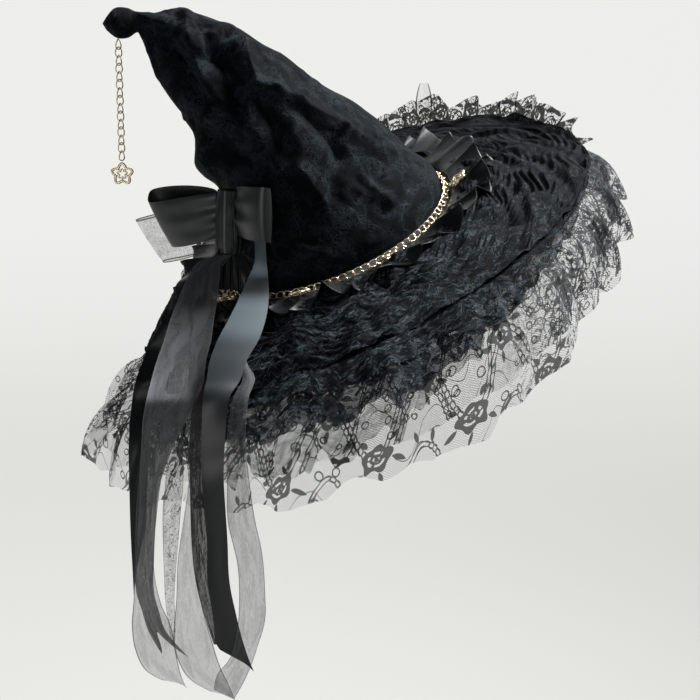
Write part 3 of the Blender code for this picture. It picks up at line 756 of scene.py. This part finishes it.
def make_ruching():
    angle = even_angles(RUCHING_COLUMNS)
    r_edge, _ = round_table(BRIM_EDGE, angle)
    t = np.linspace(0, 1, RUCHING_ROWS)[:, None]
    around = np.broadcast_to(angle, (RUCHING_ROWS, RUCHING_COLUMNS))
    r = RUCHING_FOOT + (r_edge + 1 - RUCHING_FOOT) * t
    away = r - RUCHING_FOOT
    tier = 3 * t + 0.42 * round_noise(around + 0.004 * away, (4, 7, 11, 17, 26), 33)
    puff = 0.25 + 0.75 * np.abs(np.sin(math.pi * tier)) ** 0.8
    lump = 1 + 0.5 * round_noise(around + 0.01 * away, (9, 14, 22, 31, 43), 31)
    wave = 1 + np.sin(WAVES * angle)
    calm = 1 - 0.65 * np.exp(-((np.degrees(angle) - 172) / 38) ** 4)
    height = 2.8 + 1.2 * wave * np.sin(math.pi * np.clip(t, 0.1, 1)) + 5.2 * puff * lump * calm
    rear = 1 - 0.75 * np.exp(-((np.degrees(angle) - 45) / 55) ** 2)
    height += rear * (2.3 * crinkle(around, away, 3, 6, 9, 18) + 1.3 * crinkle(around, away, 5, 6, 4, 7) - 1.5) \
        * np.clip(away / 12, 0, 1)
    top = hat_to_world(polar(r, around, brim_height(r, around) + np.maximum(height, 2.6)))
    near = np.clip(1 - np.abs(np.degrees(angle) - 266) / 50, 0, 1) ** 0.7
    longest = 0.12 + 0.28 * near + 0.03 * round_noise(angle, (9, 17, 29, 41), 8)
    u = 0.03 + (longest - 0.03) * np.linspace(0, 1, ROLL_ROWS)[:, None]
    roll = flounce_surface(u, np.broadcast_to(angle, u.shape), RUCHING_ABOVE, 0.6, 1)
    roll[..., 2] += crinkle(np.broadcast_to(angle, u.shape), u * 90, 11) * 2.0
    grid = np.concatenate([top, roll])
    faces = grid_faces(len(grid), RUCHING_COLUMNS, True)[:, ::-1]
    piece = add_mesh("tulle_ruching", grid, [faces], tulle.material, cloth_map(grid))
    return declare(piece, ["brim_ruching"])


def make_fall(name, low, high, middle, half, lift, opacity):
    """A layer of tulle that hangs over the flounce on one side and tapers to nothing at both ends."""
    # Painted shade and light, as on the ruching: the lighter colour is painted light on the crinkles.
    finish = tulle_finish(name, opacity, (0.004, 0.007, 0.010, 1.0), (0.055, 0.075, 0.090, 1.0))
    down = np.linspace(0, 1, FALL_ROWS)[:, None]
    angle = np.radians(np.linspace(middle - half, middle + half, FALL_COLUMNS))
    rise = np.clip(1 - np.abs(np.degrees(angle) - middle) / half, 0, 1)
    rise = np.minimum(rise * 1.25, 1) ** 1.2
    longest = low + (high - low) * rise * (1 + 0.10 * round_noise(angle, (31, 47, 71, 95), 8)) + 0.02
    u = low + (longest - low) * down
    around = np.broadcast_to(angle, u.shape)
    grid = flounce_surface(u, around, lift, 0.8, 1)
    rough = 1.6 * crinkle(around, u * 90, 11, 6, 8, 16) + 0.8 * crinkle(around, u * 90, 12, 6, 4, 7)
    rough += 2.0 * round_noise(around, (37, 53, 71), 14) * down
    out = unit(hat_to_world(polar(np.ones_like(around), around, 0.5)))
    grid = grid + out * rough[..., None] * np.linspace(0.2, 1, FALL_ROWS)[:, None, None]
    faces = grid_faces(FALL_ROWS, FALL_COLUMNS, False)[:, ::-1]
    piece = add_mesh(name, grid, [faces], finish.material, cloth_map(grid))
    declare(piece, [])


make_ruching()
for fall in FALLS:
    make_fall(*fall)


# Lace edging: a narrow band of the same lace that stands up from the brim's far edge, crumpled by its gathers.
EDGING_FROM, EDGING_TO, EDGING_TALL = 2, 138, 21.0
EDGING_COLUMNS, EDGING_ROWS = 620, 26

dense_lace = Finish("crumpled_lace", Roughness=0.8, Specular_IOR_Level=0.2)
motif, threads = lace_threads(dense_lace, 0.6, 38.0, 27.0)
crumple = 1 - abs(dense_lace.cloth.noise(7, 3, 0.6, 1.5) - 0.5).step(0.02, 0.06)
dense_lace.set(Base_Color=motif.blend(grey(0.03), grey(0.012)), Alpha=(threads * 1.1).either(crumple))


def make_edging():
    angle = np.radians(np.linspace(EDGING_FROM, EDGING_TO, EDGING_COLUMNS))
    r_edge, z_edge = round_table(BRIM_EDGE, angle)
    ends = np.clip(np.minimum(np.degrees(angle) - EDGING_FROM, EDGING_TO - np.degrees(angle)) / 18, 0.12, 1)
    tall = EDGING_TALL * ends * (1 + 0.35 * round_noise(angle, (7, 13, 19, 29), 41))
    t = np.linspace(0, 1, EDGING_ROWS)[:, None]
    sway = 5.5 * np.sin(46 * angle + 1.2 * round_noise(angle, (5, 9, 14), 43))
    sway = (sway + 3 * round_noise(angle, (61, 83), 45)) * t
    r = r_edge - 9 + 14 * t + sway
    z = z_edge + 3.0 + tall * t ** 0.9
    grid = hat_to_world(polar(r, angle + 0.012 * t * round_noise(angle, (25, 38), 47), z))
    faces = grid_faces(EDGING_ROWS, EDGING_COLUMNS, False)[:, ::-1]
    piece = add_mesh("lace_edging", grid, [faces], dense_lace.material, cloth_map(grid))
    declare(piece, [])


make_edging()


# Frill: satin ribbon in knife pleats round the crown's foot, standing up from the ruching.
PLEATS = 34
FRILL_ROWS = [
    # radius, shift towards the near side, height over the brim, height of the pleats
    (112.5, -4, 3.2, 0.0),
    (117.5, -4, 5.6, 0.3),
    (132, -2, 8.8, 2.2),
    (149, 0, 14.0, 5.0),
]
PLEAT_COLUMNS, FRILL_STEPS = 20, 24
RIBBON = 0.5

satin = Finish("black_satin", Specular_IOR_Level=0.24)
weft = satin.place.noise(0.5, 2)
satin.set(Base_Color=satin.place.noise(60, 3).blend(grey(0.006), grey(0.014)), Roughness=weft * 0.10 + 0.34)
satin.bump(weft, 0.05, 0.5)


def make_frill():
    cols = PLEATS * PLEAT_COLUMNS
    angle = even_angles(cols)
    step = np.linspace(0, 3, FRILL_STEPS)
    r, shift, z, amp = through(FRILL_ROWS, step).T[..., None]
    far = (step / 3)[:, None]
    phase = PLEATS * angle + 2.4 * round_noise(angle, (3, 7, 11, 16), 4) * far + 0.7 * far
    zig = np.arcsin(0.985 * np.sin(phase)) / 1.4
    size = 1 + 0.6 * round_noise(angle, (5, 9, 14, 19), 6)
    sway = 5.0 * far * round_noise(angle, (6, 13, 21), 9)
    radius = r + far ** 2 * 5.0 * round_noise(angle, (17, 23, 34), 12)
    height = brim_height(radius, np.broadcast_to(angle, radius.shape)) + z + amp * zig * size + sway
    points = polar(radius, angle + 0.02 * far * np.cos(phase), height)
    points[..., 1] += shift
    points, faces = closed_sheet(hat_to_world(points), RIBBON, True)
    piece = add_mesh("satin_frill", points, [faces], satin.material)
    return declare(piece, ["ribbon_frill"])


make_frill()


# Chain round the crown's foot: curb links of pale gold wire, each a twisted oval that locks into the next.
CHAIN_RING = (107.5, 107.5, -4.0, 4.3)
LINK_LONG, LINK_WIDE, LINK_WIRE, LINK_PITCH = 9.4, 6.4, 1.05, 6.9
LINK_TWIST = 0.8
LINK_ROLL = math.radians(16)     # each link is turned this much about the chain, left and right by turns
LINK_SIDES, LINK_STEPS = 8, 24

gold = Finish("pale_gold", Metallic=0.75)
wear = gold.place.noise(5, 4)
gold.set(Base_Color=wear.blend((0.85, 0.66, 0.42, 1.0), (1.0, 0.88, 0.66, 1.0)), Roughness=wear * 0.12 + 0.20)
gold.bump(gold.place.noise(1.5, 3), 0.05, 0.3)


def tube(path, radius, sides):
    """Closed tube round a closed path: circles square to its steps, begun on the side away from its middle."""
    n = len(path)
    along = unit(np.roll(path, -1, 0) - np.roll(path, 1, 0))
    out = path - path.mean(0)
    out = unit(out - along * np.sum(out * along, -1, keepdims=True))
    side = np.cross(along, out)
    a = even_angles(sides)
    turned = np.cos(a)[None, :, None] * out[:, None] + np.sin(a)[None, :, None] * side[:, None]
    ring = path[:, None] + radius * turned
    i, j = np.meshgrid(np.arange(n), np.arange(sides), indexing="ij")
    k, m = (j + 1) % sides, (i + 1) % n
    faces = np.stack([i * sides + j, i * sides + k, m * sides + k, m * sides + j], -1).reshape(-1, 4)
    return ring.reshape(-1, 3), faces


def joined(parts):
    """Points and faces of several meshes as one."""
    points, faces, first = [], [], 0
    for p, f in parts:
        points.append(p)
        faces.append(f + first)
        first += len(p)
    return np.concatenate(points), np.concatenate(faces)


def curb_link():
    """One link with its long axis along x: an oval whose wire rises with the sine of twice the way round it."""
    t = even_angles(LINK_STEPS)
    half_long, half_wide = (LINK_LONG - LINK_WIRE) / 2, (LINK_WIDE - LINK_WIRE) / 2
    path = np.stack([half_long * np.cos(t), half_wide * np.sin(t), LINK_TWIST * np.sin(2 * t)], -1)
    return tube(path, LINK_WIRE / 2, LINK_SIDES)


def chain_along(centres, along, normal):
    """A copy of the link at each centre, its long axis along the chain and its flat side facing the normal."""
    points, faces = curb_link()
    side = unit(np.cross(normal, along))
    roll = LINK_ROLL * np.where(np.arange(len(centres)) % 2, 1, -1)[:, None]
    side = side * np.cos(roll) + np.cross(along, side) * np.sin(roll)
    normal = np.cross(along, side)
    return joined([(c + points @ np.stack([a, s, n]), faces)
                   for c, a, s, n in zip(centres, along, side, normal)])


def make_crown_chain():
    rx, ry, shift, z = CHAIN_RING
    fine = np.linspace(0, 2 * math.pi, 2001)
    path = np.stack([rx * np.cos(fine), ry * np.sin(fine) + shift, z + 0 * fine], -1)
    length = np.concatenate([[0], np.cumsum(lengths(np.diff(path, axis=0)))])
    count = 2 * round(length[-1] / LINK_PITCH / 2)
    at = np.arange(count) * length[-1] / count
    a = np.interp(at, length, fine)
    centres = np.stack([rx * np.cos(a), ry * np.sin(a) + shift, z + 0 * a], -1)
    along = unit(np.stack([-rx * np.sin(a), ry * np.cos(a), 0 * a], -1))
    outward = np.stack([np.cos(a), np.sin(a), 0 * a + 0.35], -1)
    facing = unit(unit(hat_to_world(outward)) + BACK * 0.9)
    points, faces = chain_along(hat_to_world(centres), hat_to_world(along), facing)
    declare(add_mesh("curb_chain", points, [faces], gold.material), ["crown_chain"])


make_crown_chain()


# Chain at the tip: the same curb links, sewn to the crown's knotted tip and hanging straight down.
TIP_LINKS = 15
TIP_CHAIN_TOP = (-171.0, -56.0, 168.4)
TIP_PITCH, TIP_LINK_LONG = 6.5, 8.8


def make_tip_chain():
    x, y, top = TIP_CHAIN_TOP
    drop = top - TIP_LINK_LONG / 2 - np.arange(TIP_LINKS) * TIP_PITCH
    centres = np.stack([x + 0 * drop, y + 0 * drop, drop], -1)
    along = np.broadcast_to([0.0, 0.0, -1.0], centres.shape)
    turn = math.radians(35)
    normal = np.broadcast_to([math.sin(turn), -math.cos(turn), 0.0], centres.shape)
    points, faces = chain_along(centres, along, normal)
    declare(add_mesh("tip_curb_chain", points, [faces], gold.material), ["tip_chain"])


make_tip_chain()


# Star charms: open five-point frames of cast wire with a small star inside, held by five short bars.
# Six hang on the chain round the crown and one at the end of the tip chain.
STAR_POINT, STAR_NOTCH = 10.5, 6.3
STAR_WIRE = 2.3
STAR_RISE, STAR_SLOPE, STAR_GAP, CHAIN_TUBE = 1.0, 0.45, 0.1, 2.6
STAR_ANGLES = [("crown_star_1", 353), ("crown_star_2", 292), ("crown_star_3", 254), ("crown_star_4", 217),
               ("crown_star_5", 120), ("crown_star_6", 60)]


def star_line(point, notch, steps):
    """Closed line whose distance from the middle swings from point to notch five times, with round points."""
    t = even_angles(steps)
    swing = np.arccos(0.93 * np.cos(5 * t)) / math.pi
    r = point + (notch - point) * swing
    return np.stack([r * np.sin(t), r * np.cos(t), 0 * t], -1)


def star_parts():
    wire = STAR_WIRE / 2
    outer = tube(star_line(STAR_POINT - wire, STAR_NOTCH - wire, 80), wire, 8)
    inner = tube(star_line(4.4, 2.2, 60), 0.7, 8)
    bars = []
    for n in range(5):
        a = (n + 0.5) * 2 * math.pi / 5
        way = np.array([math.sin(a), math.cos(a), 0])
        t = even_angles(12)
        ends = way * (3.5 + 1.4 * np.cos(t))[:, None] + np.cross(way, [0, 0, 1]) * (0.25 * np.sin(t))[:, None]
        bars.append(tube(ends, 0.5, 6))
    return joined([outer, inner, *bars])


def add_star(name, node, centre, right, up):
    right, up = unit(np.array(right, float)), unit(np.array(up, float))
    up = unit(up - right * (right @ up))
    points, faces = star_parts()
    points = np.asarray(centre) + points @ np.stack([right, up, np.cross(right, up)])
    declare(add_mesh(name, points, [faces], gold.material), [node])


rx, ry, shift, z = CHAIN_RING
for node, degrees in STAR_ANGLES:
    a = math.radians(degrees)
    out = np.array([math.cos(a), math.sin(a), STAR_SLOPE])
    tip = np.array([rx * math.cos(a), ry * math.sin(a) + shift, z + STAR_RISE])
    tip += np.array([math.cos(a), math.sin(a), 0]) * (CHAIN_TUBE + STAR_GAP)
    right = np.array([-math.sin(a), math.cos(a), 0])
    add_star(node + "_charm", node, hat_to_world(tip + unit(out) * STAR_POINT), hat_to_world(right),
             hat_to_world(-out))
x, y, top = TIP_CHAIN_TOP
low = top - TIP_LINK_LONG - (TIP_LINKS - 1) * TIP_PITCH
add_star("tip_star_charm", "tip_star", (x, y, low - 0.5 - STAR_POINT), (1, 0, 0), (0, 0, 1))


# Bow loops: 42 mm ribbon folded back on itself and held by the knot, satin in front and organza behind.
LOOPS = [
    # name, root, end, direction of the width at the end, width, half opening, rise of the back, finish
    ("satin_loop_left", (-91.5, -67.5, 26), (-142, -44, 14), (0.45, 0.0, -0.89), 42, 10, 9, "soft"),
    ("satin_loop_right", (-74.7, -81.7, 31), (-48, -115, 32), (0.0, 0.0, -1.0), 44, 10, 2, "lit"),
    ("organza_loop_left", (-104, -47.8, 10), (-154, -20, -6), (0.53, 0.0, -0.85), 43, 2.5, 1, "organza"),
]
LOOP_STEPS, LOOP_ACROSS = 90, 24


def organza_finish(name, clear, light, moire=0.0):
    """Sheer plain weave: thin threads, denser selvedges at the UV's edges, and watered marks if asked for."""
    finish = Finish(name, Roughness=0.55, Specular_IOR_Level=0.3, Sheen_Weight=0.1)
    u, v, _ = finish.cloth.parts()
    selvedge = abs(u - 0.5).step(0.455, 0.485)
    cloud = finish.cloth.stretched(1.2, 8.0).noise(260, 3, 0.6, 0.8).step(0.35, 0.7)
    thread = finish.place.stretched(3.0, 1.0, 0.25).noise(0.8, 2).step(0.35, 0.65)
    mark = 1 - abs((finish.place.noise(14, 3, 0.5, 2.0) * 9).math("FRACT") - 0.5).step(0.06, 0.16)
    cover = cloud * 0.16 + thread * 0.14 + mark * moire + (1 - clear - 0.15)
    hue = (cloud * 0.6 + thread * 0.4).either(abs(u - 0.5).step(0.462, 0.478) * 1.6)
    finish.set(Base_Color=hue.blend((light * 0.42, light * 0.43, light * 0.47, 1.0),
                                    (light, light * 1.02, light * 1.1, 1.0)),
               Alpha=cover.either(selvedge * 0.9))
    finish.bump(thread * 0.5 + cloud * 0.5, 0.12, 0.5)
    return finish


organza = organza_finish("organza", 0.78, 0.05, 0.18)
# Painted sheen: the right satin tail is painted lighter near its top and in a band about 50 to 110 mm down,
# fading out by 175 mm, for the light it reflects.
painted_sheen_satin = Finish("lit_satin", Specular_IOR_Level=0.5)
_, down, _ = painted_sheen_satin.cloth.parts()
painted_shine = (down.step(0.050, 0.072) * (1 - down.step(0.088, 0.112) * 0.72) + (1 - down.step(0.024, 0.040)) * 0.7)
painted_sheen_satin.set(Base_Color=(painted_shine * (1 - down.step(0.135, 0.175))).blend(grey(0.008), (0.115, 0.143, 0.162, 1.0)),
          Roughness=painted_sheen_satin.place.noise(0.5, 2) * 0.1 + 0.34)
soft = Finish("bow_satin", Specular_IOR_Level=0.68, Roughness=0.42)
soft.set(Base_Color=soft.place.noise(12, 3).step(0.35, 0.65).blend(grey(0.010), grey(0.020)))
# Painted highlight: a thin zigzag glint line at one place round the right loop, with a faint band beside it, is
# painted into the base colour.
lit = Finish("lit_bow_satin", Specular_IOR_Level=0.7, Roughness=0.42)
across, around, _ = lit.cloth.parts()
bent = around - 0.0315 - (abs(((across * 1.6).math("FRACT")) - 0.5) - 0.25) * 0.006
glint = (1 - abs(bent).step(0.0004, 0.0022)) + around.step(0.021, 0.031) * (1 - around.step(0.033, 0.035)) * 0.15
lit.set(Base_Color=glint.blend(grey(0.012), (0.26, 0.28, 0.28, 1.0)))
FINISHES = {"soft": soft, "lit": lit, "organza": organza}

for name, root, end, wide, width, half_open, back_rise, kind in LOOPS:
    root, end, wide = (np.array(v, float) for v in (root, end, wide))
    reach = np.linalg.norm(end - root)
    along = (end - root) / reach
    t = even_angles(LOOP_STEPS)
    out = (1 - np.cos(t)) / 2
    across = unit(np.cross(along, wide))
    wide = unit(wide * out[:, None] ** 0.7 + np.array([0.0, 0.0, -1.0]) * (1 - out[:, None] ** 0.7))
    side = half_open * np.sin(t) * (0.35 + 0.65 * out)
    v = np.linspace(-0.5, 0.5, LOOP_ACROSS)[:, None]
    pinch = 1 - 0.12 * (1 - out) ** 2
    pleat = 1.2 * np.cos(v * 5 * math.pi) * (1 - out) ** 1.5
    bow = 1.5 * (1 - 4 * v ** 2) * np.sign(np.sin(t))
    grid = (root + (reach * out)[None, :, None] * along + (side + pleat + bow)[..., None] * across
            + (v * width * pinch)[..., None] * wide[None])
    grid[..., 2] += back_rise * out ** 0.5 * (0.5 - 0.5 * np.tanh(4 * np.sin(t)))
    faces = grid_faces(LOOP_ACROSS, LOOP_STEPS, True)
    uv = side_by_side(v + 0.5, reach * 2 * t / (2 * math.pi) * MM)
    piece = add_mesh(name + "_ribbon", grid, [faces], FINISHES[kind].material, uv)
    declare(piece, [name])


# Knot: a short piece of organza wrapped round the ribbons' middles, with upright creases.
KNOT_CENTRE, KNOT_WIDE, KNOT_DEEP, KNOT_TALL, KNOT_TURN = (-82.8, -72.4, 21), 12.0, 7.0, 26.0, math.radians(41)
KNOT_SHAPE = [
    # height, share of the width
    (-1.0, 0.92), (-0.55, 1.0), (0.3, 0.93), (1.0, 0.72),
]
KNOT_COLUMNS, KNOT_ROWS = 200, 60

wrap = Finish("knot_organza", Roughness=0.5, Specular_IOR_Level=0.4)
across, _, _ = wrap.cloth.parts()
# Painted highlight: a light upright line at one place round the wrap stands for a lit fold; the clouds are the
# organza's own uneven tone.
fold = 1 - abs(across - 0.762).step(0.002, 0.011)
cloud = wrap.place.stretched(1.0, 1.0, 0.4).noise(7, 4).step(0.4, 0.7)
wrap.set(Base_Color=(fold * 0.85 + cloud * 0.25).blend(grey(0.012), (0.15, 0.155, 0.165, 1.0)))
wrap.bump(wrap.place.stretched(3.0, 3.0, 0.3).noise(2.5, 3), 0.5, 0.6)
level = np.linspace(0, 3, KNOT_ROWS)
height, share = through(KNOT_SHAPE, level).T
t = even_angles(KNOT_COLUMNS)
round_x = np.sign(np.cos(t)) * np.abs(np.cos(t)) ** 0.6
round_y = np.sign(np.sin(t)) * np.abs(np.sin(t)) ** 0.6
crease = 0.9 * np.abs(np.sin(5 * t + 0.4 * np.sin(3 * height[:, None])))
crease = crease + 0.5 * np.abs(np.sin(11 * t + height[:, None]))
sx = (KNOT_WIDE * share[:, None] + crease - 0.9) * round_x
sy = (KNOT_DEEP * share[:, None] + crease - 0.9) * round_y
cx, cy, cz = KNOT_CENTRE
knot = np.stack([cx + sx * math.cos(KNOT_TURN) + sy * math.sin(KNOT_TURN),
                 cy - sx * math.sin(KNOT_TURN) + sy * math.cos(KNOT_TURN),
                 np.broadcast_to(cz + KNOT_TALL * height[:, None], sx.shape)], -1)
poles = [knot[0].mean(0), knot[-1].mean(0)]
n = KNOT_ROWS * KNOT_COLUMNS
j = np.arange(KNOT_COLUMNS)
k = (j + 1) % KNOT_COLUMNS
caps = np.concatenate([np.stack([k, j, n + 0 * j], -1),
                       np.stack([n - KNOT_COLUMNS + j, n - KNOT_COLUMNS + k, n + 1 + 0 * j], -1)])
turned = side_by_side(t / (2 * math.pi), height[:, None]).reshape(-1, 2)
uv = np.concatenate([turned, [[0.5, 0], [0.5, 1]]])
piece = add_mesh("knot_wrap", np.concatenate([knot.reshape(-1, 3), poles]),
                 [grid_faces(KNOT_ROWS, KNOT_COLUMNS, True), caps], wrap.material, uv)
declare(piece, ["bow_knot"])


# Gather under the knot: the tails' tops, crushed together into upright folds before they spread.
GATHER_TOP = [(-91.0, -76.0, -2.0), (-69.0, -80.0, -2.0)]
GATHER_FOOT = [(-97.0, -74.0, -37.0), (-66.0, -83.0, -35.0)]
GATHER_COLUMNS, GATHER_ROWS = 90, 30

v = np.linspace(0, 1, GATHER_COLUMNS)[None, :, None]
down = np.linspace(0, 1, GATHER_ROWS)[:, None, None]
(a, b), (c, d) = np.array(GATHER_TOP), np.array(GATHER_FOOT)
grid = (a * (1 - v) + b * v) * (1 - down) + (c * (1 - v) + d * v) * down
folds = 1.9 * np.abs(np.sin(4.3 * math.pi * v + 0.8 * down)) + 0.9 * np.abs(np.sin(9 * math.pi * v - down))
grid[..., 1] += folds[..., 0]
uv = side_by_side(v[..., 0], down[..., 0] * 0.036)
piece = add_mesh("ribbon_gather", grid, [grid_faces(GATHER_ROWS, GATHER_COLUMNS, False)],
                 satin.material, uv)
declare(piece, [])


# Upright end behind the crown: a short leaf of sheer organza with dark selvedges that stands up from the ruching.
UPRIGHT_ANGLE, UPRIGHT_RADIUS, UPRIGHT_TALL, UPRIGHT_WIDE = math.radians(58.5), 203.0, 42.0, 15.5

t = np.linspace(0, 1, 50)[:, None]
v = np.linspace(-0.5, 0.5, 9)[None, :]
r = np.full((1, 1), UPRIGHT_RADIUS)
foot = hat_to_world(polar(r, UPRIGHT_ANGLE, brim_height(r, np.full_like(r, UPRIGHT_ANGLE)) + 6))
wide = UPRIGHT_WIDE * (0.28 + 0.72 * np.sin(math.pi * (0.03 + 0.91 * t)) ** 0.7)
upright = foot + side_by_side(wide * v, 2.5 * np.cos(math.pi * v) + 3 * t, UPRIGHT_TALL * t)
uv = side_by_side(v * 1.12 + 0.5, t * UPRIGHT_TALL * MM)
piece = add_mesh("organza_upright", upright, [grid_faces(50, 9, False)],
                 organza_finish("upright_organza", 0.82, 0.015).material, uv)
declare(piece, [])


# Ribbon tails: the bow's loose ends in satin and organza, hanging from the knot over brim and flounce.
# Their edges follow their CAD nodes, whose rows lie straight across each ribbon.
ROW_GAP = 2.5                   # rows of a node lie further apart than this, and a row's own corners nearer
TAIL_STEP, TAIL_COLUMNS = 2.0, 14
CUTS = {
    # how much shorter the left edge is, and the right edge (below zero: longer), and a swallow-tail's depth
    "organza_band": (0, -4, 26),
    "organza_tail_left": (5, -5, 0),
    "organza_tail_middle": (8, -4, 0),
    "organza_tail_right": (0, -9, 0),
    "satin_tail_left": (0, 60, 0),
    "satin_tail_right": (12, -9, 0),
}
TAIL_FINISHES = {
    "organza_band": organza_finish("band_organza", 0.10, 0.11),
    "organza_tail_narrow": organza_finish("watered_organza", 0.62, 0.10, 0.45),
    "organza_tail_left": organza_finish("clear_organza", 0.54, 0.11),
    "organza_tail_middle": organza_finish("middle_organza", 0.52, 0.12),
    "organza_tail_dark": organza_finish("dark_organza", 0.06, 0.02),
    "organza_tail_right": organza_finish("right_organza", 0.48, 0.11),
    "satin_tail_left": satin,
    "satin_tail_right": painted_sheen_satin,
}


def ribbon_edges(node):
    """Left and right edge of a ribbon's node, a row for each level at which it has corners, from the top down."""
    corners = np.array([v.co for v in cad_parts[node].data.vertices]) / MM
    corners = corners[np.argsort(-corners[:, 2])]
    starts = np.flatnonzero(np.diff(corners[:, 2]) < -ROW_GAP) + 1
    left, right = [], []
    for row in np.split(corners, starts):
        row = np.unique(np.round(row, 2), axis=0)
        if len(row) < 4:
            continue
        left.append(row[:len(row) // 2].mean(0))
        right.append(row[len(row) // 2:].mean(0))
    return np.array(left), np.array(right)


def make_tail(node, finish, seed):
    rng = np.random.default_rng(seed)
    left, right = ribbon_edges(node)
    middle = (left + right) / 2
    length = np.concatenate([[0], np.cumsum(lengths(np.diff(middle, axis=0)))])
    count = max(20, int(length[-1] / TAIL_STEP))
    v = np.linspace(0, 1, TAIL_COLUMNS)[None, :, None]
    cut_left, cut_right, notch = CUTS.get(node, (0, 0, 0))
    columns = []
    for share in v.ravel():
        end = length[-1] - cut_left * (1 - share) - cut_right * share - notch * (1 - abs(2 * share - 1))
        inside = min(end, length[-1])
        at = np.interp(np.linspace(0, inside, count), length, np.arange(len(middle)))
        line = through(left, at) * (1 - share) + through(right, at) * share
        fade = np.clip(np.linspace(-5, 1, count), 0, 1)[:, None]
        columns.append(line + unit(line[-1] - line[-4]) * (end - inside) * fade)
    grid = np.stack(columns, 1)
    down = np.linspace(0, length[-1], count)[:, None]
    curl = 1.3 * (1 - (2 * v[..., 0] - 1) ** 2) * np.sin(down / rng.uniform(35, 60) + rng.uniform(0, 6))
    ripple = 0.5 * np.sin(down / rng.uniform(9, 14) + 3 * v[..., 0] + rng.uniform(0, 6))
    grid = grid + grid_normals(grid, False) * (curl + ripple)[..., None] * np.clip(down / 40, 0, 1)[..., None]
    uv = side_by_side(v[..., 0], down * MM)
    piece = add_mesh(node + "_ribbon", grid, [grid_faces(count, TAIL_COLUMNS, False)], finish.material, uv)
    declare(piece, [node])


for seed, (node, finish) in enumerate(TAIL_FINISHES.items()):
    make_tail(node, finish, seed)


# Stage: a pale floor that turns up into a wall behind the hat and glows a little by itself, a large soft light
# above on the right, a weaker one in front on the left, one towards the wall, and a dim room.
FLOOR = -620.0
FLOOR_FRONT = -3600.0
WALL = 3800.0
BEND = 1500.0


def make_stage():
    t = np.linspace(0, math.pi / 2, 24)
    profile = np.concatenate([[[FLOOR_FRONT, FLOOR]],
                              np.stack([WALL - BEND + BEND * np.sin(t), FLOOR + BEND - BEND * np.cos(t)], -1),
                              [[WALL, 4000]]])
    side = np.array([-4000.0, 4000.0])
    grid = side_by_side(side[None, :], profile[:, :1], profile[:, 1:])
    paper = Finish("paper", Roughness=0.9, Specular_IOR_Level=0.0, Base_Color=(0.17, 0.17, 0.165, 1.0),
                   Emission_Strength=1.0)
    x, y, z = paper.place.parts()
    near, far = (0.46, 0.465, 0.44, 1.0), (0.80, 0.805, 0.78, 1.0)
    # Painted light: the paper's glow grows up the wall and towards the back and a little to the left, and it is
    # only dim in front of the hat.
    glow = (z * 0.70 + y * 0.20 - x * 0.03 + 0.68).step(-0.1, 1.0).blend(near, far)
    paper.set(Emission_Color=y.step(-1.9, -0.5).blend((0.13, 0.13, 0.13, 1.0), glow))
    floor = add_mesh("floor", grid, [grid_faces(len(profile), 2, False)], paper.material)


def area_light(name, place, target, size, power, spread=180):
    data = bpy.data.lights.new(name, "AREA")
    data.shape, data.size, data.energy, data.spread = "DISK", size, power, math.radians(spread)
    lamp = bpy.data.objects.new(name, data)
    lamp.location = place
    lamp.rotation_mode = "QUATERNION"
    lamp.rotation_quaternion = (Vector(target) - Vector(place)).to_track_quat("-Z", "Y")
    bpy.context.scene.collection.objects.link(lamp)


make_stage()
area_light("key", (1.15, 0.3, 1.55), (0, 0, 0), 1.0, 15, 60)
area_light("front", (-0.5, -2.0, 0.1), (0, 0, 0), 0.9, 6)
area_light("wall", (-0.2, 0.8, 1.8), (0.0, 2.4, 0.0), 1.4, 10)
world = bpy.data.worlds.new("room")
world.use_nodes = True
world.node_tree.nodes["Background"].inputs["Color"].default_value = (0.93, 0.95, 1.0, 1.0)
world.node_tree.nodes["Background"].inputs["Strength"].default_value = 0.045
bpy.context.scene.world = world
bpy.context.scene.view_settings.view_transform = "Standard"
